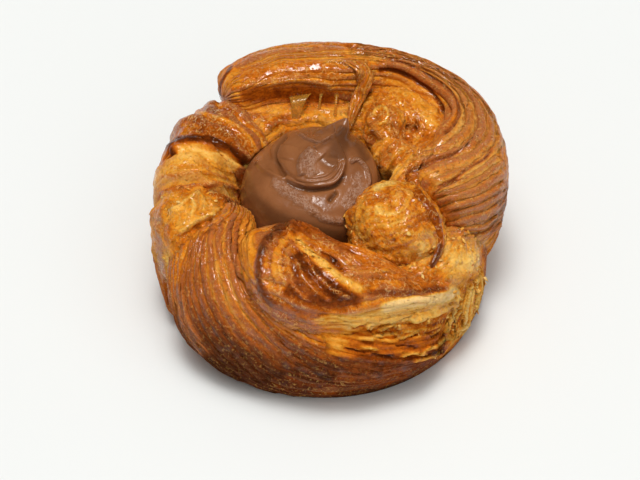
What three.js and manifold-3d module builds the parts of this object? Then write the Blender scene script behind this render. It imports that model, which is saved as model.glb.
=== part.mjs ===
// A laminated ring pastry with a piped dollop of chocolate cream in its well.
// Millimetres, +Z up. The origin is on the floor, under the middle of the dough ring.
// Each fold of dough is a lobe swept along a curved spine. Its layers show as ribs that run
// along the fold, or as rings that run across it. The folds are fused into one piece of dough,
// which is flat underneath, and the cream fills the well between them with a small gap.

import * as THREE from 'three';
import { mergeVertices } from 'three/addons/utils/BufferGeometryUtils.js';
import Module from 'manifold-3d';

const wasm = await Module();
wasm.setup();

// Driving dimensions
const BASE_RADIUS = 46;
const WALL_RADIUS = 48;
const WALL_FOOT = 5;
const WALL_TOP = 20;
const SHOULDER_RADIUS = 44;
const SHOULDER_HEIGHT = 30;
const CROWN_RADIUS = 30;
const CROWN_HEIGHT = 32;
const RIM_RADIUS = 21;
const RIM_HEIGHT = 24;
const WELL_FLOOR = 9;
const CORE_CENTRE_X = -2;
const CREAM_GAP = 0.5;
const CREAM_TOP = 54.5;
const CREAM_RADIUS = 20.7;
const CREAM_CENTRE = new THREE.Vector2(-5.5, 4.5);

// Fineness of the facets
const CORE_SEGMENTS = 40;
const PLAIN_AROUND = 20;
const STEP_LENGTH = 8;
const END_STEPS = 4;
const FEWEST_STEPS = 8;
const CREAM_AROUND = 48;
const CREAM_ALONG = 26;
const SLIVER = 0.03;

// Room for the part above the floor, wider than the dough on every side
const CUT_SPAN = 400;
const BELOW_FLOOR = 3;

// A rib's valley lies further under the fold's mean surface than its crest stands above it.
const RIB_MEAN = 0.6;
const SMALLEST_SECTION = 4;
const CRAG_SKEW = 2;

// Each fold lists its stations from one end to the other: the place of the spine by angle
// about the ring (degrees), radius and height, and the section's half width and half thickness.
// The section leans away from a circle inside the ring, at anchorRadius and anchorHeight.
// A higher blunt value gives a fold a squarer end, and a higher square value a boxier section.
// A fold with no ribs may have a crag: the height of the uneven swells on its flaky skin.
const FOLDS = {
  rightArm: {
    angle: [130, 110, 86, 64, 44, 28, 9, -10],
    radius: [50, 48.5, 47, 50.5, 49.5, 43.8, 36.5, 27],
    height: [39, 39.5, 37.5, 33, 29.5, 27, 26.5, 26.5],
    halfWidth: [8.5, 10, 10, 6.5, 7, 11.5, 14.5, 13],
    halfThickness: [6.5, 9, 11.6, 13.7, 16.2, 18.6, 18.5, 18.5],
    blunt: 40, square: 3.2, ribs: 28, ribDepth: 1.1,
  },
  backLedge: {
    angle: [160, 125, 85, 45, 12],
    radius: [38, 39, 38, 38.5, 38.5],
    height: [21, 22, 21, 18, 14],
    halfWidth: [12, 13, 13.5, 12, 10.5],
    halfThickness: [16, 17.5, 17.5, 17, 15],
    blunt: 6, square: 2.8, ribs: 30, ribDepth: 0.7,
  },
  backPuff: {
    angle: [80, 64, 46, 28],
    radius: [41, 40, 39, 35],
    height: [28.5, 30, 30, 29.5],
    halfWidth: [8.5, 9.5, 10, 9],
    halfThickness: [12, 13, 13, 12],
    anchorRadius: 48, anchorHeight: 0,
    blunt: 3, square: 3, crag: 1.1,
  },
  backKnot: {
    angle: [66, 56, 42],
    radius: [32, 29.5, 27],
    height: [36.5, 37.5, 36],
    halfWidth: [5, 7, 5],
    halfThickness: [7, 8, 7],
    blunt: 2.2, square: 2.1, ribs: 10, ribDepth: 0.8,
  },
  innerFold: {
    angle: [30, 16, 0, -12],
    radius: [34, 28, 21.5, 18],
    height: [40, 39, 36, 30],
    halfWidth: [4, 6, 5.5, 4],
    halfThickness: [5, 6, 7, 6],
    blunt: 2.6, square: 2.2, ribs: 14, ribDepth: 0.6,
  },
  innerBulge: {
    angle: [-45, -36, -31],
    radius: [9, 22, 37],
    height: [31, 33, 31],
    halfWidth: [12, 13, 12],
    halfThickness: [13, 14, 13],
    blunt: 2.4, square: 2.7, crag: 0.8,
  },
  frontFold: {
    angle: [233, 236, 257, 287, 318],
    radius: [19, 31, 37, 37.5, 45],
    height: [36, 35, 32, 30.5, 26.5],
    halfWidth: [7, 10, 11.5, 10, 6.5],
    halfThickness: [8, 11, 12, 10.5, 8],
    blunt: 3, square: 2.3, ribs: 16, ribDepth: 0.8,
  },
  frontLeaf: {
    angle: [233, 246, 268, 290, 313],
    radius: [18, 22, 28, 35, 46],
    height: [38, 38.8, 38.5, 36.5, 29.5],
    halfWidth: [3.5, 5, 6, 6.5, 3],
    halfThickness: [3.5, 4.2, 4.5, 4.5, 3.5],
    blunt: 3, square: 2.2, ribs: 12, ribDepth: 0.5,
  },
  frontArm: {
    angle: [186, 196, 208, 228, 262, 297, 322],
    radius: [29.5, 30.5, 37, 40.2, 37.8, 39.8, 41],
    height: [28.5, 31, 27, 19, 14, 11, 9],
    halfWidth: [7, 9.5, 13.5, 18, 19, 15, 10],
    halfThickness: [6, 8.2, 12, 13, 13.5, 11, 9],
    anchorRadius: 30, anchorHeight: 16,
    blunt: 4, square: 2.4, ribs: 36, ribDepth: 0.9,
  },
  frontWall: {
    angle: [258, 290, 322, 356],
    radius: [37, 36.5, 36, 36],
    height: [16, 16, 17, 18],
    halfWidth: [10, 11, 11, 10],
    halfThickness: [15, 17, 18, 18],
    blunt: 6, square: 2.8, ribs: 28, ribDepth: 0.7,
  },
  rightRuffle: {
    angle: [312, 328, 348],
    radius: [39.5, 39, 38],
    height: [12, 13, 13],
    halfWidth: [8, 8.5, 8.5],
    halfThickness: [13, 13, 13],
    blunt: 5, square: 2.4, rings: 9, ribDepth: 1.4,
  },
  leftUpper: {
    angle: [128, 143, 157],
    radius: [37.3, 39, 39.8],
    height: [21, 22, 20.5],
    halfWidth: [16.2, 16.8, 13.8],
    halfThickness: [20.5, 22, 21],
    blunt: 4, square: 2.5, rings: 8, ribDepth: 1.4,
  },
  leftMiddle: {
    angle: [151, 166, 181],
    radius: [40, 40, 39.5],
    height: [20, 21, 20],
    halfWidth: [12, 12.3, 11.8],
    halfThickness: [21, 22.5, 21],
    blunt: 3.2, square: 2.5, rings: 8, ribDepth: 0.8,
  },
  leftLower: {
    angle: [173, 190, 210],
    radius: [39, 39, 38.5],
    height: [19, 19.5, 18],
    halfWidth: [12, 12.5, 12],
    halfThickness: [20, 21.5, 19],
    blunt: 2.8, square: 2.7, crag: 0.9,
  },
  leftSkin: {
    angle: [180, 188, 200],
    radius: [47, 49, 48],
    height: [33, 19.2, 3],
    halfWidth: [4, 6, 6],
    halfThickness: [3, 3, 3],
    anchorRadius: 30, anchorHeight: 14,
    blunt: 4, square: 2.4, ribs: 14, ribDepth: 0.6,
  },
  hangingStrand: {
    angle: [5, -9, -24, -30, -34.5, -42.5, -47],
    radius: [21.2, 23.6, 27.4, 33.2, 37.3, 39.1, 39.4],
    height: [43.2, 43.6, 45.8, 43.6, 37.8, 35.4, 34.8],
    halfWidth: [0.9, 1.2, 1.4, 1.4, 1.2, 1, 0.7],
    halfThickness: [0.8, 0.8, 0.9, 1, 1, 0.9, 0.8],
    anchorRadius: 30, anchorHeight: 20,
    blunt: 4, square: 2.2,
  },
  backStrand: {
    angle: [92, 84, 77.5, 75.9, 77.5, 78.5, 79],
    radius: [44.8, 44.8, 42.7, 40.6, 37.6, 32.3, 27.7],
    height: [48.6, 48.3, 47.8, 44.6, 40.8, 39.4, 36.5],
    halfWidth: [1, 2.4, 2.7, 2.5, 2.1, 1.7, 1.3],
    halfThickness: [0.8, 1.1, 1.2, 1.2, 1.1, 1, 0.9],
    anchorRadius: 36, anchorHeight: 20,
    blunt: 4, square: 2.2,
  },
  innerPad: {
    angle: [58, 46, 30, 14],
    radius: [26, 25, 25, 24],
    height: [32, 33.5, 33.5, 32],
    halfWidth: [5, 6.5, 6.5, 5],
    halfThickness: [6, 7.5, 7.5, 6],
    blunt: 2.4, square: 2.3, crag: 0.5,
  },
};
const ANCHOR_RADIUS = 34;
const ANCHOR_HEIGHT = -20;

// The dollop's outline, from its hidden underside up to the tip, as radius and height
const CREAM_OUTLINE = [
  [0, WELL_FLOOR],
  [13.5, WELL_FLOOR],
  [17, 15],
  [19.4, 22],
  [CREAM_RADIUS, 29],
  [20.5, 34],
  [19.2, 38.2],
  [16.8, 41.6],
  [13.6, 44.2],
  [10.8, 45.9],
  [8.2, 47.3],
  [6, 48.9],
  [4.3, 50.6],
  [2.6, 52.4],
  [1.1, 53.8],
  [0, CREAM_TOP],
];
const TIP_LEAN = new THREE.Vector2(10, 8);
const LEAN_START = 37;
const LEAN_POWER = 1.5;

// The hollow in the front of the peak, by height: it deepens above its foot and ends below the tip.
const CARVE_DEPTH = 0.2;
const CARVE_ANGLE = THREE.MathUtils.degToRad(-70);
const CARVE_FOOT = 40.5;
const CARVE_FULL = 44.5;
const CARVE_THIN = 50;
const CARVE_TIP = 53;

// The coil's crease, by shares of the outline's length and of a turn
const COIL_START = 0.45;
const COIL_SPAN = 0.36;
const COIL_TURN = 0.35;
const COIL_FADE = 0.05;
const TIP_START = 0.75;
const TIP_SMOOTH = 0.9;
const CREASE_WIDTH = 0.09;
const CREASE_DEPTH = 1.3;

function ringPoint(degrees, radius, height) {
  const angle = THREE.MathUtils.degToRad(degrees);
  return new THREE.Vector3(radius * Math.cos(angle), radius * Math.sin(angle), height);
}

function signedPower(value, power) {
  return Math.sign(value) * Math.abs(value) ** power;
}

// A ball whose points are moved to pointAt(turn, run): turn goes round it, run from pole to pole.
function closedSurface(around, along, pointAt) {
  const geometry = new THREE.SphereGeometry(1, around, along);
  const position = geometry.attributes.position;
  for (let row = 0; row <= along; row += 1) {
    for (let column = 0; column <= around; column += 1) {
      const point = pointAt((column % around) / around, row / along);
      position.setXYZ(row * (around + 1) + column, point.x, point.y, point.z);
    }
  }
  return geometry;
}

function toSolid(geometry) {
  geometry.deleteAttribute('normal');
  geometry.deleteAttribute('uv');
  const merged = mergeVertices(geometry);
  return new wasm.Manifold(new wasm.Mesh({
    numProp: 3,
    vertProperties: new Float32Array(merged.attributes.position.array),
    triVerts: new Uint32Array(merged.index.array),
  }));
}

// One fold of dough
function foldSolid(fold) {
  const { ribs = 0, rings = 0, ribDepth = 0, crag = 0 } = fold;
  const { anchorRadius = ANCHOR_RADIUS, anchorHeight = ANCHOR_HEIGHT } = fold;
  const stations = fold.angle.map((angle, i) => ringPoint(angle, fold.radius[i], fold.height[i]));
  const spine = new THREE.CatmullRomCurve3(stations, false, 'catmullrom');
  const sizes = fold.halfWidth.map((width, i) => new THREE.Vector2(width, fold.halfThickness[i]));
  const section = new THREE.SplineCurve(sizes);
  const around = ribs > 0 ? 2 * ribs : PLAIN_AROUND;
  const steps = Math.round(spine.getLength() / STEP_LENGTH) + END_STEPS;
  const along = rings > 0 ? 2 * rings : Math.max(FEWEST_STEPS, steps);

  return toSolid(closedSurface(around, along, (turn, run) => {
    const reach = (1 - Math.cos(Math.PI * run)) / 2;
    const centre = spine.getPoint(reach);
    const tangent = spine.getTangent(reach);
    const anchorAngle = THREE.MathUtils.radToDeg(Math.atan2(centre.y, centre.x));
    const outward = centre.clone().sub(ringPoint(anchorAngle, anchorRadius, anchorHeight));
    outward.addScaledVector(tangent, -outward.dot(tangent)).normalize();
    const sideways = tangent.clone().cross(outward);

    const size = section.getPoint(reach);
    const crest = Math.abs(Math.sin(Math.PI * (ribs * turn + rings * run)));
    const swell = Math.sin(2 * Math.PI * (3 * turn + CRAG_SKEW * run))
      * Math.cos(2 * Math.PI * (2 * turn - CRAG_SKEW * run));
    const mean = Math.max(Math.sqrt(size.x * size.y), SMALLEST_SECTION);
    const relief = 1 + (ribDepth * (crest - RIB_MEAN) + crag * swell) / mean;
    const taper = Math.sqrt(1 - Math.abs(Math.cos(Math.PI * run)) ** fold.blunt);
    const angle = 2 * Math.PI * turn;
    const lift = -signedPower(Math.cos(angle), 2 / fold.square) * size.y * taper * relief;
    const spread = signedPower(Math.sin(angle), 2 / fold.square) * size.x * taper * relief;
    return centre.addScaledVector(outward, lift).addScaledVector(sideways, spread);
  }));
}

// The plain middle of the ring, which the folds wrap and the cream's well is cut from
function coreSolid() {
  const outline = [
    [0, -BELOW_FLOOR],
    [BASE_RADIUS, -BELOW_FLOOR],
    [BASE_RADIUS, 0],
    [WALL_RADIUS, WALL_FOOT],
    [WALL_RADIUS, WALL_TOP],
    [SHOULDER_RADIUS, SHOULDER_HEIGHT],
    [CROWN_RADIUS, CROWN_HEIGHT],
    [RIM_RADIUS, RIM_HEIGHT],
    [0, RIM_HEIGHT],
  ];
  const geometry = new THREE.LatheGeometry(outline.map(([r, z]) => new THREE.Vector2(r, z)), CORE_SEGMENTS);
  geometry.rotateX(Math.PI / 2);
  geometry.translate(CORE_CENTRE_X, 0, 0);
  return toSolid(geometry);
}

// A leaning dollop with one coil's crease winding from its side up to the tip.
// With swell its sides and underside stand out by that much, to cut the well.
function dollopSolid(swell = 0) {
  const outline = new THREE.SplineCurve(CREAM_OUTLINE.map(([r, z]) => new THREE.Vector2(
    r > 0 ? r + swell : 0,
    z === WELL_FLOOR ? z - swell : z,
  )));
  return toSolid(closedSurface(CREAM_AROUND, CREAM_ALONG, (turn, run) => {
    const { x: radius, y: height } = outline.getPoint(run);
    const azimuth = 0.5 - turn;
    const wound = azimuth + (run - COIL_START) / COIL_SPAN + COIL_TURN;
    const fromCrease = THREE.MathUtils.euclideanModulo(wound, 1) - 0.5;
    const fadeIn = THREE.MathUtils.smoothstep(run, COIL_START - COIL_FADE, COIL_START + COIL_FADE);
    const fadeOut = 1 - THREE.MathUtils.smoothstep(run, TIP_START, TIP_SMOOTH);
    const crease = CREASE_DEPTH * fadeIn * fadeOut * Math.exp(-((fromCrease / CREASE_WIDTH) ** 2));
    const lean = (Math.max(height - LEAN_START, 0) / (CREAM_TOP - LEAN_START)) ** LEAN_POWER;
    const angle = 2 * Math.PI * azimuth;
    const deepens = THREE.MathUtils.smoothstep(height, CARVE_FOOT, CARVE_FULL);
    const thins = 1 - THREE.MathUtils.smoothstep(height, CARVE_THIN, CARVE_TIP);
    const hollow = CARVE_DEPTH * deepens * thins * Math.max(Math.cos(angle - CARVE_ANGLE), 0);
    const reach = radius * (1 - hollow);
    return new THREE.Vector3(
      CREAM_CENTRE.x + reach * Math.cos(angle) + TIP_LEAN.x * lean,
      CREAM_CENTRE.y + reach * Math.sin(angle) + TIP_LEAN.y * lean,
      height - crease,
    );
  }));
}

// The main body alone: pockets that the fusing sealed are filled, loose scraps are dropped,
// and slivers left where folds cross are taken up by the facets beside them.
function mainBody(solid) {
  const largest = (main, piece) => (piece.volume() > main.volume() ? piece : main);
  return solid.decompose().reduce(largest).asOriginal().simplify(SLIVER);
}

function toMesh(solid, name, material) {
  const { vertProperties, triVerts } = mainBody(solid).getMesh();
  const geometry = new THREE.BufferGeometry();
  geometry.setAttribute('position', new THREE.BufferAttribute(vertProperties, 3));
  geometry.setIndex(new THREE.BufferAttribute(triVerts, 1));
  geometry.computeVertexNormals();
  const mesh = new THREE.Mesh(geometry, material);
  mesh.name = name;
  return mesh;
}

const crustMaterial = new THREE.MeshStandardMaterial({ color: 0xb06a25, roughness: 0.4, metalness: 0 });
const creamMaterial = new THREE.MeshStandardMaterial({ color: 0x5e3d2b, roughness: 0.35, metalness: 0 });

const aboveFloor = toSolid(new THREE.BoxGeometry(CUT_SPAN, CUT_SPAN, CUT_SPAN).translate(0, 0, CUT_SPAN / 2));
let dough = coreSolid();
for (const fold of Object.values(FOLDS)) {
  dough = dough.add(foldSolid(fold));
}
dough = dough.subtract(dollopSolid(CREAM_GAP)).intersect(aboveFloor);
const cream = dollopSolid();

const cruffin = new THREE.Group();
cruffin.add(toMesh(dough, 'pastry', crustMaterial));
cruffin.add(toMesh(cream, 'chocolate_cream', creamMaterial));

export default cruffin;
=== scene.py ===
"""A cruffin: a laminated ring pastry filled with chocolate cream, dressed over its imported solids.

The folds of dough and the cream follow the same stations as the solids, at a much finer pitch.
Shapes are worked out in millimetres, and each mesh is put in metres as it is made.
"""

import math

import bmesh
import bpy
import numpy as np
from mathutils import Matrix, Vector
from mathutils.bvhtree import BVHTree
from mathutils.kdtree import KDTree


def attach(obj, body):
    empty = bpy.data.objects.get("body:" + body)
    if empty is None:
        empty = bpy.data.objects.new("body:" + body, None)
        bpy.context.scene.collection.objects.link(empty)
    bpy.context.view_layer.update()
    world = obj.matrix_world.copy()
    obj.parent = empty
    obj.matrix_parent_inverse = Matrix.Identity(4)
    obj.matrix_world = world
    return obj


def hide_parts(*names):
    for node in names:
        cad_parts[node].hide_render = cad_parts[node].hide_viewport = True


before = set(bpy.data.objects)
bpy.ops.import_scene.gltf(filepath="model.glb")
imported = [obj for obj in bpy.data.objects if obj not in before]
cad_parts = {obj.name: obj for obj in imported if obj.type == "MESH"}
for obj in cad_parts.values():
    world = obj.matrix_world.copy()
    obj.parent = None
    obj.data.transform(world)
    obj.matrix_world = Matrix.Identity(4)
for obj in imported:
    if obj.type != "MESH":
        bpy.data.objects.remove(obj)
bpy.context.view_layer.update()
MM = 0.001

# Camera, as the photograph was taken, with its distance and aim in metres
IMAGE_WIDTH = 640
IMAGE_HEIGHT = 480
MM_PER_PIXEL = 0.294
VIEW_ELEVATION = math.radians(45)
VIEW_DISTANCE = 0.7
VIEW_AIM = Vector((-0.0032, 0, 0.0175))
SENSOR = 36
TO_CAMERA = np.array([0, -math.cos(VIEW_ELEVATION), math.sin(VIEW_ELEVATION)])
CAMERA_RIGHT = np.array([1, 0, 0])
CAMERA_UP = np.cross(TO_CAMERA, CAMERA_RIGHT)
EYE = np.array(VIEW_AIM) / MM + TO_CAMERA * VIEW_DISTANCE / MM

# Dough core and the cream's well
CORE_OUTLINE = [(0, -3), (46, -3), (46, 0), (48, 5), (48, 20), (44, 30), (30, 32), (21, 24), (0, 24)]
CORE_CENTRE_X = -2
CORE_GRID = (96, 48)
CORE_BROWNING = 0.72
CORE_LAYER = 2.4
CREAM_GAP = 0.5
WELL_FLOOR = 9
CREAM_CENTRE = np.array([-5.5, 4.5])
CREAM_OUTLINE = [
    (0, WELL_FLOOR), (13.5, WELL_FLOOR), (17, 15), (19.4, 22), (20.7, 29), (20.5, 34), (19.2, 38.2),
    (16.8, 41.6), (13.6, 44.2), (10.8, 45.9), (8.2, 47.3), (6, 48.9), (4.3, 50.6), (2.6, 52.4), (1.1, 53.8),
    (0, 54.5),
]
CREAM_TOP = CREAM_OUTLINE[-1][1]
TIP_LEAN = np.array([10, 8])
LEAN_START = 37
LEAN_POWER = 1.5
CARVE_DEPTH = 0.2
CARVE_ANGLE = -70
CARVE_HEIGHTS = (40.5, 44.5, 50, 53)
CREAM_GRID = (288, 200)
SWIRL_CENTRE = np.array([-5, 6])
SWIRL_ANGLES = [60, 100, 150, 200, 245, 280, 312, 342, 365, 400, 420]
SWIRL_RADII = [18.5, 17, 14, 9.6, 9.7, 11.2, 11.6, 9.8, 7, 4.5, 3.5]
SWIRL_DEPTHS = [0, 0.5, 1, 1, 1, 1, 1, 1, 0.8, 0.3, 0]

# Folds: the spine's stations by angle about the ring (degrees), radius and height, with the section's half
# width and half thickness. The section faces away from the anchor, a radius and height inside the dough.
# Blunt and square say how full the ends and the section are, and grid gives the points round it and along it.
# The layers show as ribs along a fold or rings across it, depth high, and wander is how far they stray.
# Browning goes from 0, pale crumb, to 1, dark brown, in a rib's valley and on its crest. Patch makes it
# uneven, and foot adds to it towards the floor, partly as browning and partly as painted shade. Wet is the
# gloss, stripes how far the crests turn tan, a tan that is partly painted sheen, and flake, lumps, wrinkle
# and grain are amounts of relief.
ANCHOR = (34, -20)
FOLDS = {
    "right_arm": dict(
        angle=[130, 110, 86, 64, 44, 28, 9, -10],
        radius=[50, 48.5, 47, 50.5, 49.5, 43.8, 36.5, 27],
        height=[39, 39.5, 37.5, 33, 29.5, 27, 26.5, 26.5],
        half_width=[8.5, 10, 10, 6.5, 7, 11.5, 14.5, 13],
        half_thickness=[6.5, 9, 11.6, 13.7, 16.2, 18.6, 18.5, 18.5],
        blunt=40, square=3.2, ribs=28, depth=[0.3, 0.3, 0.5, 0.6, 0.7, 0.7, 0.7, 0.6], grid=(264, 156),
        valley=0.44, crest=0.56, patch=0.10, wet=0.45, stripes=0.9,
    ),
    "back_ledge": dict(
        angle=[160, 125, 85, 45, 12],
        radius=[38, 39, 38, 38.5, 38.5],
        height=[21, 22, 21, 18, 14],
        half_width=[12, 13, 13.5, 12, 10.5],
        half_thickness=[16, 17.5, 17.5, 17, 15],
        blunt=6, square=2.8, ribs=30, depth=0.8, grid=(150, 100),
        valley=0.36, crest=0.46, patch=0.12, wet=0.3, flake=0.5, stripes=0.5,
    ),
    "back_puff": dict(
        angle=[80, 64, 46, 28],
        radius=[41, 40, 39, 35],
        height=[28.5, 30, 30, 29.5],
        half_width=[8.5, 9.5, 10, 9],
        half_thickness=[12, 13, 13, 12],
        anchor=(48, 0),
        blunt=3, square=3, ribs=11, wander=5, depth=0.5, grid=(142, 84),
        valley=0.62, crest=0.5, patch=0.16, wet=0.8, flake=0.5, lumps=0.5, wrinkle=0.6, grain=0.12,
    ),
    "back_knot": dict(
        angle=[66, 56, 42],
        radius=[32, 29.5, 27],
        height=[36.5, 37.5, 36],
        half_width=[5, 7, 5],
        half_thickness=[7, 8, 7],
        blunt=2.2, square=2.1, ribs=10, depth=0.8, grid=(92, 50),
        valley=0.42, crest=0.55, patch=0.12, wet=0.8, flake=0.6, lumps=0.3, wrinkle=1.4, stripes=0.4,
    ),
    "inner_fold": dict(
        angle=[30, 16, 0, -12],
        radius=[34, 28, 21.5, 18],
        height=[40, 39, 36, 30],
        half_width=[4, 6, 5.5, 4],
        half_thickness=[5, 6, 7, 6],
        blunt=2.6, square=2.2, ribs=14, depth=0.7, grid=(92, 58),
        valley=0.48, crest=0.58, patch=0.10, wet=0.9, wrinkle=0.6, stripes=0.5,
    ),
    "inner_bulge": dict(
        angle=[-45, -36, -31],
        radius=[9, 22, 37],
        height=[31, 33, 31],
        half_width=[12, 13, 12],
        half_thickness=[13, 14, 13],
        blunt=2.4, square=2.7, ribs=9, wander=5, depth=0.35, grid=(184, 100),
        valley=0.54, crest=0.36, patch=0.16, wet=0.6, flake=0.8, lumps=0.5, wrinkle=0.9, grain=0.14,
    ),
    "front_fold": dict(
        angle=[233, 236, 257, 287, 318],
        radius=[19, 31, 37, 37.5, 45],
        height=[36, 35, 32, 30.5, 26.5],
        half_width=[7, 10, 11.5, 10, 6.5],
        half_thickness=[8, 11, 12, 10.5, 8],
        blunt=3, square=2.3, ribs=16, depth=0.8, grid=(194, 110),
        valley=0.52, crest=0.64, patch=0.12, wet=0.7, stripes=0.6,
    ),
    "front_leaf": dict(
        angle=[233, 246, 268, 290, 313],
        radius=[18, 22, 28, 35, 46],
        height=[38, 38.8, 38.5, 36.5, 29.5],
        half_width=[3.5, 5, 6, 6.5, 3],
        half_thickness=[3.5, 4.2, 4.5, 4.5, 3.5],
        blunt=3, square=2.2, ribs=12, depth=0.6, grid=(92, 92),
        valley=0.56, crest=0.66, patch=0.08, wet=1.0, stripes=0.4,
    ),
    "front_arm": dict(
        angle=[186, 196, 208, 228, 262, 297, 322],
        radius=[29.5, 30.5, 37, 40.2, 37.8, 39.8, 41],
        height=[28.5, 31, 27, 19, 14, 11, 9],
        half_width=[7, 9.5, 13.5, 18, 19, 15, 10],
        half_thickness=[6, 8.2, 12, 13, 13.5, 11, 9],
        anchor=(30, 16),
        blunt=4, square=2.4, ribs=44, depth=0.6, grid=(270, 150),
        valley=0.42, crest=0.54, patch=0.12, wet=0.45, stripes=1.0, grain=0.18, foot=0.45,
    ),
    "front_wall": dict(
        angle=[258, 290, 322, 356],
        radius=[37, 36.5, 36, 36],
        height=[16, 16, 17, 18],
        half_width=[10, 11, 11, 10],
        half_thickness=[15, 17, 18, 18],
        blunt=6, square=2.8, ribs=28, depth=0.5, grid=(194, 118),
        valley=0.34, crest=0.22, patch=0.12, wet=0.3, flake=1.1, stripes=0.4, grain=0.2, wrinkle=1.1,
        foot=0.7,
    ),
    "right_ruffle": dict(
        angle=[312, 328, 348],
        radius=[39.5, 39, 38],
        height=[12, 13, 13],
        half_width=[8, 8.5, 8.5],
        half_thickness=[13, 13, 13],
        blunt=5, square=2.4, rings=9, depth=1.2, grid=(110, 110),
        valley=0.44, crest=0.32, patch=0.12, wet=0.3, flake=0.5, stripes=0.4, grain=0.12,
    ),
    "left_upper": dict(
        angle=[128, 143, 157],
        radius=[37.3, 39, 39.8],
        height=[21, 22, 20.5],
        half_width=[16.2, 16.8, 13.8],
        half_thickness=[20.5, 22, 21],
        blunt=4, square=2.5, rings=8, depth=1.5, grid=(196, 110),
        valley=0.5, crest=0.7, patch=0.10, wet=0.8, stripes=0.7,
    ),
    "left_middle": dict(
        angle=[151, 166, 181],
        radius=[40, 40, 39.5],
        height=[20, 21, 20],
        half_width=[12, 12.3, 11.8],
        half_thickness=[21, 22.5, 21],
        blunt=3.2, square=2.5, rings=8, depth=0.9, grid=(180, 94),
        valley=0.36, crest=0.32, patch=0.10, wet=0.5, stripes=0.5,
    ),
    "left_lower": dict(
        angle=[173, 190, 210],
        radius=[39, 39, 38.5],
        height=[19, 19.5, 18],
        half_width=[12, 12.5, 12],
        half_thickness=[20, 21.5, 19],
        blunt=2.8, square=2.7, depth=0, grid=(180, 94),
        valley=0.4, crest=0.4, patch=0.2, wet=0.4, flake=1.6, lumps=0.5, wrinkle=1.0,
    ),
    "left_skin": dict(
        angle=[180, 188, 200],
        radius=[47, 49, 48],
        height=[33, 19.2, 3],
        half_width=[4, 6, 6],
        half_thickness=[3, 3, 3],
        anchor=(30, 14),
        blunt=4, square=2.4, ribs=14, depth=0.6, grid=(76, 58),
        valley=0.50, crest=0.66, patch=0.12, wet=0.3, stripes=0.8,
    ),
    "hanging_strand": dict(
        angle=[5, -9, -24, -30, -34.5, -42.5, -47],
        radius=[21.2, 23.6, 27.4, 33.2, 37.3, 39.1, 39.4],
        height=[43.2, 43.6, 45.8, 43.6, 37.8, 35.4, 34.8],
        half_width=[0.9, 1.2, 1.4, 1.4, 1.2, 1, 0.7],
        half_thickness=[0.8, 0.8, 0.9, 1, 1, 0.9, 0.8],
        anchor=(30, 20),
        blunt=4, square=2.2, depth=0, grid=(34, 72),
        valley=0.72, crest=0.72, patch=0.08, wet=1.0,
    ),
    "back_strand": dict(
        angle=[92, 84, 77.5, 75.9, 77.5, 78.5, 79],
        radius=[44.8, 44.8, 42.7, 40.6, 37.6, 32.3, 27.7],
        height=[48.6, 48.3, 47.8, 44.6, 40.8, 39.4, 36.5],
        half_width=[1, 2.4, 2.7, 2.5, 2.1, 1.7, 1.3],
        half_thickness=[0.8, 1.1, 1.2, 1.2, 1.1, 1, 0.9],
        anchor=(36, 20),
        blunt=4, square=2.2, ribs=8, depth=0.35, grid=(48, 64),
        valley=0.42, crest=0.56, patch=0.08, wet=0.8, stripes=0.7,
    ),
    "inner_pad": dict(
        angle=[58, 46, 30, 14],
        radius=[26, 25, 25, 24],
        height=[32, 33.5, 33.5, 32],
        half_width=[5, 6.5, 6.5, 5],
        half_thickness=[6, 7.5, 7.5, 6],
        blunt=2.4, square=2.3, rings=6, depth=0.8, grid=(84, 70),
        valley=0.56, crest=0.46, patch=0.14, wet=0.9, flake=0.5, lumps=0.3, wrinkle=0.6, stripes=0.2,
    ),
}

# Heights between which the crust turns darker, partly browning and partly painted shade, and drier towards
# the floor
FOOT_TOP = 36
FOOT_END = 6


def line(*pixels, width, rise=0.0, flatten=0.0, **looks):
    """A detail along a line of the photograph's pixels: its half width in pixels, how far it stands
    out in millimetres, the share of the ribs it smooths away, and the looks that the surface takes."""
    return dict(pixels=pixels, width=width, rise=rise, flatten=flatten, looks=looks)


# Torn edges of the front wall's layers, each with a line of painted shadow under it, the cracks between them,
# painted dark as shade, and the orange folds by the knot with their browning
TORN_EDGES = [
    ((352, 326), (362, 323), (371, 328)),
    ((380, 331), (392, 326), (402, 330)),
    ((410, 322), (421, 318), (431, 322)),
    ((360, 337), (370, 340), (381, 336)),
    ((395, 339), (408, 336), (420, 331)),
    ((430, 335), (440, 329), (449, 327)),
    ((436, 345), (446, 338), (455, 337)),
    ((402, 357), (414, 353), (427, 354)),
    ((358, 352), (369, 348), (380, 351)),
]
TORN_WIDTH = 1.4
TORN_SHADOW = 3
WALL_CRACKS = [
    ((394, 348), (405, 346), (416, 349)),
    ((373, 354), (383, 357), (394, 356)),
    ((346, 348), (358, 352), (371, 353)),
]
KNOT_FOLDS = [
    (0.38, ((372, 162), (380, 149), (389, 138))),
    (0.54, ((378, 168), (387, 153), (398, 141))),
    (0.40, ((385, 172), (394, 157), (405, 146))),
    (0.56, ((392, 174), (402, 160), (413, 150))),
]

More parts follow.
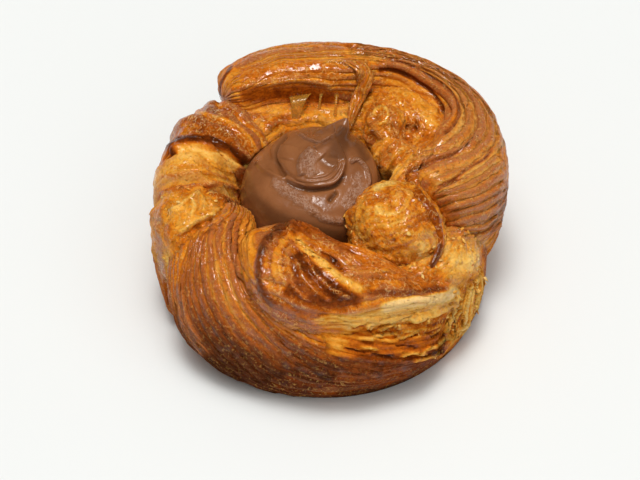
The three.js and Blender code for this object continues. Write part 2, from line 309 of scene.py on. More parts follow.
# Details of the crust, as the photograph shows them
DETAILS = [
    # Back arm: glossy top, smooth dark inner face, golden end and the ledge below it
    line((236, 73), (275, 72), (315, 70), (345, 84), width=9, flatten=0.6, browning=0.56, gloss=0.75,
         stripes=0.3),
    line((238, 95), (262, 94), (300, 93), (338, 101), width=8, flatten=1, browning=0.76, gloss=0.1,
         stripes=0.0),
    line((238, 85), (262, 84), (288, 80), (318, 83), (337, 91), width=2.5, rise=0.6, browning=0.5,
         gloss=1.0),
    line((222, 96), (226, 78), (236, 66), width=6, browning=0.42, gloss=0.3, stripes=0.2),
    line((219, 100), (221, 85), (226, 74), (234, 64), width=1.6, browning=0.9),
    line((236, 107), (270, 109), (300, 112), (338, 118), width=4.5, browning=0.38, gloss=0.5, stripes=0.2),
    line((273, 126), (280, 118), (290, 119), width=4, browning=0.68, gloss=0.5),
    # Left upper fold: diagonal bands and the dark glossy ridge with the crease below it, the crease painted
    # near black as its shadow
    line((196, 113), (219, 118), (240, 128), (253, 142), (259, 154), width=2, rise=0.5, browning=0.44),
    line((199, 119), (221, 125), (237, 136), (250, 150), width=3, browning=0.70, gloss=1.0, stripes=0.3),
    line((221, 110), (242, 113), (260, 118), (272, 128), width=3, rise=0.5, browning=0.66, gloss=0.9),
    line((164, 153), (178, 144), (195, 139), (212, 141), (227, 148), (240, 157), (250, 163), width=5.5,
         rise=1.0, browning=1.0, gloss=0.4, stripes=0.0),
    line((192, 130), (205, 131), (219, 137), width=3, browning=0.7, gloss=1.0),
    line((160, 160), (178, 151), (198, 148), (218, 150), (234, 159), (248, 167), width=2.0, rise=-1.2,
         browning=1.0, gloss=0.3, stripes=0.0),
    line((178, 122), (163, 146), (157, 166), width=6, browning=0.7, tan=0.4),
    # Left middle fold: pale above, a brown ridge below and a tongue tucked under it
    line((172, 153), (200, 151), (225, 158), (238, 171), width=7, browning=0.22, gloss=0.5, stripes=0.1),
    line((166, 168), (200, 166), (236, 174), width=2, rise=0.4, browning=0.46, gloss=0.8),
    line((162, 177), (200, 173), (238, 182), width=2, rise=0.4, browning=0.5, gloss=0.8),
    line((156, 195), (173, 189), (194, 185), (214, 184), (230, 187), (242, 192), width=2.4, rise=0.8,
         browning=0.62, gloss=0.9, tan=0.4),
    line((206, 190), (219, 196), (230, 201), (237, 204), width=3.5, rise=0.9, browning=0.76, gloss=0.9),
    line((198, 187), (196, 197), (198, 208), width=2.5, rise=0.8, browning=0.44, gloss=0.7, tan=0.3),
    line((207, 197), (212, 205), (219, 211), width=2.5, rise=0.8, browning=0.42, gloss=0.7),
    # Left lower fold: a pale face, a pocket under it, sunk and painted darker as shade under its lip, and the
    # skin at the far left
    line((171, 203), (181, 214), (186, 230), width=11, browning=0.36, gloss=0.5, stripes=0.0),
    line((214, 217), (200, 225), (186, 233), (176, 240), width=3, rise=-0.9, browning=0.58),
    line((216, 212), (202, 219), (189, 227), (177, 234), width=2, rise=1.0, browning=0.25, gloss=0.8),
    line((191, 197), (194, 207), (191, 217), width=1.5, rise=0.8, browning=0.22, gloss=0.8),
    line((201, 193), (204, 204), (201, 214), width=1.5, rise=0.8, browning=0.3, gloss=0.8),
    line((169, 213), (178, 208), (190, 197), (201, 192), width=1.6, rise=0.8, browning=0.24, gloss=0.8),
    line((171, 234), (178, 252), (181, 272), width=7, browning=0.5, gloss=0.2),
    line((157, 208), (158, 240), (164, 285), width=3.5, browning=0.5, gloss=0.9, tan=1.0),
    # Front arm: its mauve edge, the bands at its top and the golden panel beside them
    line((176, 285), (180, 312), (191, 337), (208, 358), width=9, browning=0.58, tan=0.7, gloss=0.3),
    line((235, 213), (230, 226), (229, 240), (233, 254), (240, 284), width=2.6, rise=0.6, browning=0.7,
         tan=0.9),
    line((223, 216), (219, 228), (218, 242), (222, 258), width=2.4, rise=0.5, browning=0.68, tan=0.8),
    line((214, 220), (210, 233), (210, 248), (213, 264), width=2.2, rise=0.5, browning=0.62, tan=0.7),
    line((250, 219), (248, 240), (250, 262), (253, 281), width=9, browning=0.42, gloss=0.3, stripes=0.0),
    # Front fold: the brown arc, golden layers with thin grooves between them, the open slit and the dark
    # glossy fold below it. Slit and grooves are sunk and painted dark as their shade, and raised ridges on
    # the dark fold are painted paler, partly as their highlights
    line((284, 286), (300, 292), (322, 300), (350, 303), width=10, flatten=0.9, browning=0.86, gloss=0.3,
         stripes=0.1),
    line((293, 251), (306, 266), (322, 281), (341, 294), (364, 301), width=9, flatten=0.9, browning=0.94,
         gloss=0.4, stripes=0.1),
    line((292, 262), (303, 282), (320, 298), width=5, flatten=0.6, browning=0.82, gloss=0.5, stripes=0.2),
    line((278, 304), (300, 314), (330, 314), width=4, flatten=0.8, browning=0.66, gloss=0.3, stripes=0.2),
    line((303, 218), (288, 223), (276, 231), (266, 243), (261, 257), (259, 270), (260, 283), (266, 296),
         (280, 309), width=4.2, rise=1.0, flatten=0.8, browning=0.95, gloss=0.5, stripes=0.0, tan=0.35),
    line((294, 235), (281, 243), (275, 256), (274, 270), (278, 282), width=4, browning=0.4, gloss=0.5,
         stripes=0.2),
    line((292, 244), (287, 255), (288, 268), (293, 279), width=2.0, rise=0.8, browning=0.5, gloss=0.8),
    line((284, 247), (280, 259), (281, 272), (286, 284), width=1.4, rise=0.6, browning=0.3, gloss=0.7),
    line((319, 250), (328, 256), (339, 266), (345, 271), width=2.2, rise=-1.3, browning=0.88, gloss=0.2,
         stripes=0.0),
    line((294, 236), (308, 251), (322, 264), (336, 276), (349, 285), (364, 294), width=5, rise=0.9,
         flatten=1, browning=0.26, gloss=0.25, stripes=0.0, scaly=0.5),
    line((290, 240), (283, 252), (282, 266), (286, 280), width=1.3, rise=-0.6, browning=0.74),
    line((279, 240), (271, 254), (270, 270), (275, 286), width=1.3, rise=-0.6, browning=0.7),
    line((301, 251), (310, 266), (319, 279), (333, 291), (352, 299), width=1.8, rise=0.9, browning=0.7,
         gloss=0.9),
    line((294, 258), (302, 275), (314, 291), (332, 302), width=1.8, rise=0.9, browning=0.66, gloss=0.8),
    line((287, 270), (295, 287), (310, 301), width=1.8, rise=0.8, browning=0.62, gloss=0.7),
    # Leaf: smooth glossy orange, with a raised glossy patch painted paler, partly as its highlight, and a
    # dark lower edge
    line((289, 226), (320, 229), (345, 242), (372, 260), width=8, browning=0.76, gloss=0.25, stripes=0.1),
    line((352, 254), (380, 268), (420, 278), (452, 285), width=8, browning=0.6, gloss=0.6, stripes=0.1),
    line((340, 242), (363, 249), (388, 258), (409, 262), (425, 268), (441, 274), (455, 285), width=2.2,
         rise=0.7, browning=0.5, gloss=0.5, stripes=0.0),
    line((352, 273), (370, 273), (392, 271), width=3, rise=0.8, browning=0.5, gloss=1.0),
    line((366, 292), (385, 293), (409, 293), (450, 288), width=3.5, browning=0.86, gloss=0.6, stripes=0.2),
    # Front wall: the pale band under the leaf, layers below it and the cracks between them, the cracks sunk
    # and painted near black as their shade
    line((340, 326), (372, 319), (404, 312), (432, 307), (457, 299), width=9, browning=0.24, gloss=0.3,
         stripes=0.1),
    line((378, 309), (404, 304), (428, 300), (446, 296), (460, 289), width=5, rise=0.5, browning=-0.1,
         gloss=0.2, stripes=0.0),
    line((345, 330), (385, 322), (425, 317), (450, 310), width=1.6, rise=0.6, browning=0.2),
    line((350, 342), (390, 334), (430, 328), (455, 318), width=1.6, rise=0.6, browning=0.28),
    line((350, 360), (385, 364), (425, 360), (452, 350), width=9, browning=0.84, gloss=0.1, stripes=0.2),
    line((340, 374), (375, 380), (415, 374), width=9, browning=0.8, gloss=0.1, stripes=0.3),
    line((420, 352), (440, 345), (458, 334), width=1.6, rise=0.8, browning=0.2),
    line((412, 362), (434, 356), (455, 345), width=1.6, rise=0.8, browning=0.28),
    line((345, 344), (385, 347), (425, 342), (454, 331), width=7, browning=0.64, gloss=0.1, stripes=0.1),
    line((352, 338), (392, 341), (430, 335), width=1.5, rise=0.8, browning=0.34),
    *(line(*crack, width=1.4, rise=-1.2, browning=0.95) for crack in WALL_CRACKS),
    line((448, 262), (465, 263), (483, 258), width=10, browning=0.2, gloss=0.5, stripes=0.0, scaly=0.2),
    line((452, 237), (470, 241), (490, 241), width=6, browning=0.34, gloss=0.3),
    line((472, 265), (474, 265.5), width=1.2, browning=1.0),
    # Inner bulge: golden flakes with orange patches
    line((362, 201), (380, 199), (392, 196), width=4, browning=0.62, gloss=0.7),
    line((350, 226), (357, 246), (378, 257), width=5, browning=0.54, gloss=0.8),
    line((372, 190), (384, 184), (396, 181), width=4, browning=0.18, gloss=0.6),
    line((441, 243), (439, 254), (434, 262), (428, 268), width=3, browning=0.95, tan=0.3),
    # Puff, knot and the orange folds between them. The hollow by the knot is sunk and painted dark as its
    # shade, and the crevice under the folds gets a paler line, painted light in its shade
    line((380, 82), (404, 88), (424, 100), (437, 113), width=9, browning=0.4, gloss=0.8, stripes=0.0),
    line((370, 105), (384, 110), (378, 124), width=9, browning=0.6, gloss=1.0, stripes=0.2),
    line((372, 118), (376, 110), (383, 107), (389, 113), (384, 122), (377, 124), width=1.4, rise=0.6,
         browning=0.2),
    line((404, 122), (412, 127), (420, 124), width=5, rise=-1.6, browning=0.74, gloss=0.6),
    line((386, 137), (400, 133), (413, 140), width=5, browning=0.6, gloss=1.0, stripes=0.3),
    *(line(*path, width=2.2, rise=0.7, browning=browning, gloss=1.0) for browning, path in KNOT_FOLDS),
    line((376, 178), (390, 172), (404, 168), width=5, browning=0.3, gloss=0.6),
    # Right arm: the rolled lip round the puff, and the deep grooves inside and outside it and between its
    # layers, sunk and painted dark as shade, that inside the lip as its shadow
    line((377, 64), (395, 65), (413, 71), (435, 84), (448, 94), (452, 105), (448, 116), (441, 130),
         (432, 138), width=4, rise=0.8, browning=0.6, tan=0.6, gloss=0.6),
    line((376, 72), (388, 69), (404, 74), (418, 82), (433, 94), (441, 105), (442, 115), width=2.5,
         rise=-0.8, browning=0.9, stripes=0.0),
    line((426, 74), (443, 84), (455, 96), (459, 110), (453, 124), (441, 136), width=1.8, rise=-0.9,
         browning=0.86),
    line((340, 44), (369, 50), (395, 60), (420, 69), (434, 78), width=1.6, rise=-0.7, browning=0.84),
    line((404, 172), (418, 168), (435, 161), (456, 153), (470, 141), width=2, rise=-1.0, browning=0.84),
    line((434, 191), (455, 179), (472, 166), (487, 157), (494, 148), width=2, rise=-1.0, browning=0.84),
]
DETAILS += [line(*edge, width=TORN_WIDTH, rise=0.9, browning=0.2) for edge in TORN_EDGES]
# Under each torn edge, a line sunk and painted darker as its shadow
DETAILS += [
    line(*((x, y + TORN_SHADOW) for x, y in edge), width=TORN_WIDTH, rise=-0.7, browning=0.66)
    for edge in TORN_EDGES
]

# Layers that fan out across several folds: guide lines of pixels, the layer at each, and the ribs' looks.
# Fine is the share of finer strands on a rib.
COMBS = [
    # Right arm, from the lip round the puff out to the silhouette
    dict(
        guides=[
            [(405, 160), (420, 148), (436, 138), (450, 122), (455, 107), (450, 93), (438, 81), (415, 70),
             (385, 63), (352, 58)],
            [(398, 168), (420, 157), (445, 151), (468, 140), (478, 125), (478, 109), (470, 95), (452, 79),
             (430, 68), (400, 57), (370, 49), (335, 44)],
            [(403, 174), (435, 162), (468, 151), (486, 137), (490, 120), (483, 104), (470, 90), (452, 75),
             (430, 64), (402, 53), (372, 45), (335, 41)],
            [(418, 183), (441, 173), (470, 161), (491, 148), (498, 132), (492, 114), (480, 97), (462, 81),
             (440, 67), (412, 54), (380, 44), (345, 38)],
            [(430, 192), (455, 180), (474, 169), (492, 157), (503, 146), (508, 136)],
            [(432, 200), (455, 193), (473, 187), (490, 177), (510, 163)],
            [(437, 209), (455, 203), (473, 198), (490, 190), (512, 175)],
            [(444, 222), (472, 215), (488, 208), (502, 199), (514, 190)],
            [(446, 231), (478, 224), (494, 216), (514, 203)],
            [(448, 247), (472, 242), (490, 236), (512, 222)],
        ],
        layers=[0, 2, 3, 4, 5, 7, 8, 10, 11, 13],
        depth=1.4, fine=0.3, valley=0.32, crest=0.56, stripes=1.0, gloss=0.55, tan=0.5,
    ),
    # Front arm, from the front fold's arc out to the left silhouette
    dict(
        guides=[
            [(262, 208), (252, 235), (250, 262), (254, 290), (266, 312), (290, 331), (322, 346), (360, 358),
             (400, 366)],
            [(248, 210), (242, 236), (243, 264), (248, 290), (262, 316), (288, 343), (318, 361), (352, 373),
             (390, 382)],
            [(236, 212), (230, 234), (232, 257), (238, 280), (248, 301), (265, 324), (288, 349), (311, 370),
             (335, 388)],
            [(224, 214), (218, 236), (218, 256), (224, 280), (235, 304), (251, 328), (272, 352),
             (300, 382)],
            [(213, 218), (206, 238), (204, 260), (208, 284), (219, 311), (236, 338), (257, 362),
             (282, 388)],
            [(202, 224), (194, 250), (190, 275), (193, 300), (204, 326), (221, 350), (243, 371),
             (268, 392)],
            [(190, 228), (183, 255), (175, 285), (172, 310), (176, 334), (192, 358), (216, 378),
             (248, 396)],
        ],
        layers=[0, 1.5, 3, 4.5, 6, 8.5, 12.5],
        depth=1.1, fine=0.35, valley=0.36, crest=0.66, stripes=0.6, gloss=0.45, tan=0.28, foot=0.66,
    ),
    # Front wall, from the pale band under the leaf down to the floor
    dict(
        guides=[
            [(300, 318), (325, 312), (350, 313), (388, 308), (422, 304), (450, 298), (470, 288)],
            [(305, 328), (337, 325), (362, 329), (385, 333), (412, 332), (445, 322), (472, 308)],
            [(310, 340), (353, 346), (376, 350), (400, 349), (424, 346), (450, 336), (474, 322)],
            [(320, 356), (349, 362), (376, 366), (410, 367), (440, 358), (470, 342)],
        ],
        layers=[0, 3, 6, 8],
        depth=0.6, fine=0.3, valley=0.34, crest=0.22, stripes=0.1, gloss=0.3, foot=0.7,
    ),
    # Ruffle: torn pleats that hang from the right end of the front wall
    dict(
        guides=[
            [(494, 246), (491, 268), (488, 290), (482, 312)],
            [(480, 262), (478, 284), (474, 308), (466, 336)],
            [(468, 282), (464, 302), (458, 326), (450, 350)],
            [(452, 292), (446, 312), (438, 336), (430, 358)],
        ],
        layers=[0, 3, 6, 9],
        depth=1.7, fine=0.12, valley=0.5, crest=0.06, stripes=0.0, gloss=0.4,
    ),
]


# Details of the cream: folds of the coil, the hollow and dish by the peak, and the smear at the right. The
# darkening that they lay on is painted shade, and the grain that they lay on roughens the cream and paints a
# pale satin highlight.
CREAM_DETAILS = [
    # Peak: its ridge, the hollow at its foot with painted shade in it, the dish behind it, and painted shade
    # on its front and right flank
    line((345, 125), (336, 135), (325, 142), (314, 149), width=2.2, rise=0.7),
    line((321, 156), (329, 164), (338, 165), width=6, rise=-0.6, dark=0.3),
    line((308, 129), (322, 132), (335, 131), width=5, rise=-1.0),
    line((298, 133), (309, 139), (321, 142), (330, 138), (337, 132), width=1.6, rise=0.7, grain=0.5),
    line((348, 126), (344, 138), (338, 150), (336, 160), width=10, dark=0.7),
    line((354, 138), (362, 150), (368, 162), width=6, dark=0.6),
    # Coil: the ring round the hollow with a painted satin highlight, strands that sweep to the peak's foot
    # and the crease under them, with painted shade in the crease
    line((314, 149), (305, 157), (301, 166), (303, 176), width=4, rise=0.9, grain=0.8),
    line((316, 151), (311, 159), (310, 168), (315, 176), width=5, grain=1.0),
    line((284, 176), (296, 182.5), (310, 185.5), (325, 184.5), (336, 180), (342, 171), (344.5, 158),
         width=1.4, rise=0.7),
    line((294, 177), (305, 181), (318, 181.5), (330, 178), (338, 170), (342, 160), width=1.2, rise=0.55),
    line((304, 176), (314, 178), (326, 175), (334, 168), (339, 160), width=1.2, rise=0.45),
    line((284, 180), (296, 186.5), (310, 189.5), (325, 189), (338, 184), (346, 173), width=1.8, rise=-1.1,
         dark=0.7),
    # Left lobes and the crease between them, with painted shade in the crease
    line((287, 145), (285, 160), width=8, rise=0.6),
    line((289, 132), (277, 148), (275, 159), (281, 171), (286, 177), width=1.8, rise=-0.9, dark=0.5),
    line((256, 161), (265, 170), (281, 178), (295, 184), (308, 188), width=2.4, rise=0.8),
    # Right smear and the satin band across the front, both with a painted satin highlight, and the small
    # hole, with painted shade in it
    line((349, 163), (357, 160), (366, 169), (369, 184), (362, 192), (352, 204), (345, 212), width=2.2,
         rise=0.7, grain=1.0),
    line((355, 172), (359, 182), (352, 195), (346, 207), width=5.5, rise=-0.3, grain=1.0),
    line((329, 201), (333, 196), (337, 191), width=2.2, rise=-1.5, dark=0.8),
    line((271, 181), (284, 188), (297, 195), width=5, rise=0.2, grain=0.8),
    line((280, 189), (296, 196), (310, 203), width=5.5, rise=0.2, grain=0.9),
    line((294, 199), (306, 206), (316, 213), width=4.5, rise=0.2, grain=0.8),
    line((314, 210), (322, 217), (334, 220.5), (345, 221), width=4, rise=0.5, grain=0.8),
    # Painted shade on the rim where the cream meets the crust at the front
    line((243, 165), (245, 185), (254, 201), (274, 217), (300, 227), (330, 236), (350, 239), width=8,
         dark=0.7),
]


# Numbers and noise

TURN = 2 * np.pi
HASH_SEED = 0x9E3779B1
HASH_AXES = (0x8DA6B343, 0xD8163841, 0xCB1AB31F)
HASH_STIR = 0x85EBCA6B
HASH_LAST_STIR = 0xC2B2AE35
NOISE_LAYERS = 3
NOISE_PEAK = 1.4


def smoothstep(value, low, high):
    part = np.clip((value - low) / (high - low), 0, 1)
    return part * part * (3 - 2 * part)


def signed_power(value, power):
    return np.sign(value) * np.abs(value) ** power


def turns(columns):
    """Angles of evenly spread columns about an axis."""
    return TURN * np.arange(columns) / columns


def hashed(cells, seed):
    """A number from 0 to 1 for each whole-number cell, the same on every run."""
    mixed = np.full(cells.shape[:-1], seed * HASH_SEED % 2**32, np.uint32)
    for axis, factor in enumerate(HASH_AXES[:cells.shape[-1]]):
        mixed ^= cells[..., axis].astype(np.int64).astype(np.uint32) * np.uint32(factor)
        mixed ^= mixed >> np.uint32(15)
        mixed *= np.uint32(HASH_STIR)
    mixed ^= mixed >> np.uint32(13)
    mixed *= np.uint32(HASH_LAST_STIR)
    mixed ^= mixed >> np.uint32(16)
    return mixed / 2**32


def noise(points, size, seed):
    """Smooth noise from -1 to 1 with lumps about one size across."""
    spot = points / size
    corner = np.floor(spot)
    part = spot - corner
    fade = part ** 3 * (part * (part * 6 - 15) + 10)
    total = np.zeros(points.shape[:-1])
    for step in np.ndindex(2, 2, 2):
        step = np.array(step)
        weight = np.prod(np.where(step, fade, 1 - fade), axis=-1)
        total += weight * hashed(corner + step, seed)
    return 2 * total - 1


def layered_noise(points, size, seed):
    """Noise in layers, each half as large and half as strong as the one before."""
    layers = [noise(points, size / 2 ** step, seed + step) / 2 ** step for step in range(NOISE_LAYERS)]
    return sum(layers) / NOISE_PEAK


def spline(stations, reach, loose_ends):
    """Points and slopes on a curve through the stations, by a share of its length from 0 to 1.
    With loose ends the curve runs on past its last stations, and without them it stops there."""
    stations = np.asarray(stations, float)
    before = 2 * stations[0] - stations[1] if loose_ends else stations[0]
    after = 2 * stations[-1] - stations[-2] if loose_ends else stations[-1]
    padded = np.vstack([before, stations, after])
    place = np.clip(reach, 0, 1) * (len(stations) - 1)
    index = np.minimum(place.astype(int), len(stations) - 2)
    w = (place - index)[..., None]
    p0, p1, p2, p3 = (padded[index + i] for i in range(4))
    a = 3 * p1 - p0 - 3 * p2 + p3
    b = 2 * p0 - 5 * p1 + 4 * p2 - p3
    c = p2 - p0
    return (2 * p1 + c * w + b * w ** 2 + a * w ** 3) / 2, (c + 2 * b * w + 3 * a * w ** 2) / 2


def unit(vectors):
    return vectors / np.maximum(np.linalg.norm(vectors, axis=-1, keepdims=True), 1e-9)


def ring_points(degrees, radius, height):
    angle = np.radians(np.asarray(degrees, float))
    return np.stack([radius * np.cos(angle), radius * np.sin(angle), height + 0 * angle], -1)


# Meshes

def shell_faces(rows, columns):
    """Faces of a closed shell made of a pole, rings of points and a pole."""
    ring = np.arange(columns)
    after = (ring + 1) % columns
    starts = 1 + columns * np.arange(rows - 2)[:, None]
    near, near_after = starts + ring, starts + after
    quads = np.stack([near[:-1], near_after[:-1], near_after[1:], near[1:]], -1).reshape(-1, 4)
    last = 1 + columns * (rows - 2)
    first_fan = np.stack([0 * ring, near_after[0], near[0]], -1)
    last_fan = np.stack([0 * ring + last, near[-1], near_after[-1]], -1)
    return first_fan.tolist() + quads.tolist() + last_fan.tolist()


def shell_points(grid):
    """The grid's points with each pole row as one point."""
    inner = grid[1:-1].reshape(-1, grid.shape[-1])
    return np.vstack([grid[0, :1], inner, grid[-1, :1]])


def link_object(name, data):
    thing = bpy.data.objects.new(name, data)
    bpy.context.scene.collection.objects.link(thing)
    return thing


def add_object(name, points, faces):
    """A smooth-shaded object of points in millimetres."""
    mesh = bpy.data.meshes.new(name)
    mesh.from_pydata((points * MM).tolist(), [], faces)
    mesh.shade_smooth()
    return link_object(name, mesh)


def shell_object(name, *grids):
    """Closed shells from grids of points, one for each, with their faces pointing out."""
    points, faces = np.zeros((0, 3)), []
    for grid in grids:
        shell = shell_points(grid)
        sides = shell_faces(*grid.shape[:2])
        corners = shell[np.array([side[:3] for side in sides])]
        volume = np.einsum("ij,ij->", corners[:, 0], np.cross(corners[:, 1], corners[:, 2]))
        turn = -1 if volume < 0 else 1
        faces += [[len(points) + corner for corner in side[::turn]] for side in sides]
        points = np.vstack([points, shell])
    return add_object(name, points, faces)


def grid_normals(grid):
    """Unit normals of a closed grid whose first and last rows are poles."""
    around = np.roll(grid, -1, axis=1) - np.roll(grid, 1, axis=1)
    along = np.gradient(grid, axis=0)
    normals = unit(np.cross(around, along))
    normals[0] = unit((grid[0] - grid[2].mean(0)))
    normals[-1] = unit((grid[-1] - grid[-3].mean(0)))
    outward = np.sum(normals[1:-1] * (grid[1:-1] - grid[1:-1].mean(1, keepdims=True)), -1)
    if outward.mean() < 0:
        normals[1:-1] *= -1
    return normals


def fuse(base, others, cutters):
    """The mesh of base with the others joined on and the cutters taken away."""
    group = bpy.data.collections.new("folds")
    for thing in others:
        group.objects.link(thing)
    join = base.modifiers.new("join", "BOOLEAN")
    join.operation, join.solver = "UNION", "MANIFOLD"
    join.operand_type, join.collection = "COLLECTION", group
    for cutter in cutters:
        cut = base.modifiers.new("cut", "BOOLEAN")
        cut.operation, cut.solver, cut.object = "DIFFERENCE", "MANIFOLD", cutter
    bpy.context.view_layer.update()
    mesh = bpy.data.meshes.new_from_object(base.evaluated_get(bpy.context.evaluated_depsgraph_get()))
    for thing in [base, *others, *cutters]:
        bpy.data.objects.remove(thing)
    bpy.data.collections.remove(group)
    return mesh


def drop_scraps(mesh):
    """Leaves only the body that the outermost point belongs to."""
    shape = bmesh.new()
    shape.from_mesh(mesh)
    front = [max(shape.verts, key=lambda corner: corner.co.x)]
    reached = set(front)
    while front:
        near = front.pop()
        for edge in near.link_edges:
            far = edge.other_vert(near)
            if far not in reached:
                reached.add(far)
                front.append(far)
    scraps = [corner for corner in shape.verts if corner not in reached]
    bmesh.ops.delete(shape, geom=scraps, context="VERTS")
    shape.to_mesh(mesh)
    shape.free()


def read_vectors(items, key):
    numbers = np.empty(len(items) * 3)
    items.foreach_get(key, numbers)
    return numbers.reshape(-1, 3)


def mesh_points(mesh):
    return read_vectors(mesh.vertices, "co") / MM


def mesh_normals(mesh):
    return read_vectors(mesh.vertex_normals, "vector")


def mesh_tree(mesh):
    return BVHTree.FromPolygons(mesh_points(mesh).tolist(), [face.vertices[:] for face in mesh.polygons])


def move_points(mesh, points):
    mesh.vertices.foreach_set("co", (points * MM).ravel())
    mesh.update()


def add_values(mesh, **columns):
    """Keeps one number for each point of the mesh, by name, for its material to read."""
    for name, numbers in columns.items():
        attribute = mesh.attributes.new(name, "FLOAT", "POINT")
        attribute.data.foreach_set("value", np.asarray(numbers, np.float32))


# Layers and relief of the dough

# A rib: its height, the lean and roundness of its profile, breaks along it, finer strands on it, and the span
# from valley to crest. Noise, here and below, is given by its size in millimetres and its amount.
RIB_MEAN = 0.6
RIB_LOWEST = 0.75
RIB_SPREAD = 0.5
RIB_LEAN = 0.65
RIB_ROUND = 0.85
RIB_WHOLE = 0.9
RIB_BREAKS = (6, 0.35)
STRANDS = 3
STRAND_WANDER = (4, 0.7)
STRAND_SHARE = 0.1
CREST_SPAN = (0.25, 0.95)

# Layers of uneven width that wander, and sheets of crust that end in steps
UNEVEN_WAVES = (3, 5, 8, 13)
UNEVEN_AMOUNT = 0.3
OUTLINE_SAMPLES = 721
SHEET_LEVELS = 7
SHEET_STEP = 0.25
BROAD_SHEETS = (5, 0.6)
SMALL_SHEETS = (2.2, 0.4)
BROAD_WANDER = (15, 0.7)
SMALL_WANDER = (5, 0.3)

# Relief of a fold, with the amounts for one that gives none, and the taper below which its ribs fade
LUMP_SIZE = 4
WRINKLE_SIZE = 8
WRINKLE_TOP = 0.6
GRAIN_SIZE = 1.7
FINE_GRAIN = (1.0, 0.6)
PLAIN_FLAKE = 0.15
PLAIN_LUMPS = 0.12
PLAIN_GRAIN = 0.12
RIB_FADE = 0.55

# Looks of a fold: browning by layer and in patches, gloss in patches, and how far it dries towards the floor
LAYER_SHADE = 0.16
PATCH_SIZE = 9
GLOSS_PATCH = (5, 0.25)
FOLD_DRYING = 0.6
COMB_DRYING = 0.7

# What each point of the crust carries
CRUST_VALUES = ("browning", "gloss", "layer", "along", "stripes", "scaly", "rib")


def flakes(points, size, seed):
    """Broken sheets of crust: level patches, from 0 to 1, that end in steps."""
    level = SHEET_LEVELS * (layered_noise(points, size, seed) + 1) / 2
    step = np.floor(level)
    return (step + smoothstep(level - step, 0.0, SHEET_STEP)) / SHEET_LEVELS


def uneven(share, seed):
    """Moves evenly spread shares of a turn, so that the layers differ in width."""
    draw = np.random.default_rng(seed)
    moved = share.copy()
    for waves in UNEVEN_WAVES:
        start = draw.uniform(0, 1)
        swing = np.sin(TURN * (waves * share + start)) - np.sin(TURN * start)
        moved += UNEVEN_AMOUNT / (TURN * waves) * swing
    return moved


def even_turn(lap, power, half_width, half_thickness):
    """The turn about a section that goes with each share of the way round its outline."""
    turn = np.linspace(0, 1, OUTLINE_SAMPLES)
    across = half_width * signed_power(np.sin(TURN * turn), power)
    up = half_thickness * signed_power(np.cos(TURN * turn), power)
    way = np.concatenate([[0], np.cumsum(np.hypot(np.diff(across), np.diff(up)))])
    return np.interp(lap, way / way[-1], turn)


def sized_noise(points, size_and_amount, seed, kind=noise):
    size, amount = size_and_amount
    return amount * kind(points, size, seed)


def ribs_of(layer, points, seed, fine=STRAND_SHARE):
    """For each point's layer, how near its rib's crest it is, and the rib's relief for a depth of 1.
    A rib carries finer strands, by the share that fine gives."""
    index = np.floor(layer)[..., None]
    part = layer - index[..., 0]
    height = RIB_LOWEST + RIB_SPREAD * hashed(index, seed)
    profile = np.sin(np.pi * part ** RIB_LEAN) ** RIB_ROUND
    broken = RIB_WHOLE + sized_noise(points, RIB_BREAKS, seed + 1)
    strands = np.abs(np.sin(np.pi * (STRANDS * layer + sized_noise(points, STRAND_WANDER, seed + 2))))
    relief = height * profile * broken - RIB_MEAN + fine * (strands - RIB_MEAN)
    return smoothstep(profile * height, *CREST_SPAN), relief


def layer_shade(settings, crest, layer, seed, spread=LAYER_SHADE):
    """Browning from a rib's valley to its crest, a little different on each layer."""
    shade = settings["valley"] + (settings["crest"] - settings["valley"]) * crest
    return shade + spread * (hashed(np.floor(layer)[..., None], seed) - 0.5)


def foot_share(points):
    """From 0 high on the part to 1 near the floor."""
    return smoothstep(points[..., 2], FOOT_TOP, FOOT_END)


def fold_form(fold, lap, run):
    """A fold's plain points by the share round its section and along it, with its centre line, the taper
    of its ends and its ribs' depth."""
    reach = (1 - np.cos(np.pi * run)) / 2
    stations = ring_points(fold["angle"], np.array(fold["radius"]), np.array(fold["height"]))
    centre, slope = spline(stations, reach, loose_ends=True)
    tangent = unit(slope)
    centre_angle = np.degrees(np.arctan2(centre[:, 1], centre[:, 0]))
    outward = centre - ring_points(centre_angle, *fold.get("anchor", ANCHOR))
    outward = unit(outward - tangent * np.sum(outward * tangent, -1, keepdims=True))
    sideways = np.cross(tangent, outward)
    size, _ = spline(np.stack([fold["half_width"], fold["half_thickness"]], -1), reach, loose_ends=False)
    depth = np.interp(reach, np.linspace(0, 1, np.size(fold["depth"])), np.atleast_1d(fold["depth"]))
    taper = np.sqrt(np.maximum(1 - np.abs(np.cos(np.pi * run)) ** fold["blunt"], 0))

    power = 2 / fold["square"]
    turn = even_turn(lap, power, np.mean(fold["half_width"]), np.mean(fold["half_thickness"]))
    lift = -signed_power(np.cos(TURN * turn), power) * (size[:, 1] * taper)[:, None]
    spread = signed_power(np.sin(TURN * turn), power) * (size[:, 0] * taper)[:, None]
    points = centre[:, None] + outward[:, None] * lift[..., None] + sideways[:, None] * spread[..., None]
    return points, centre, taper, depth[:, None]


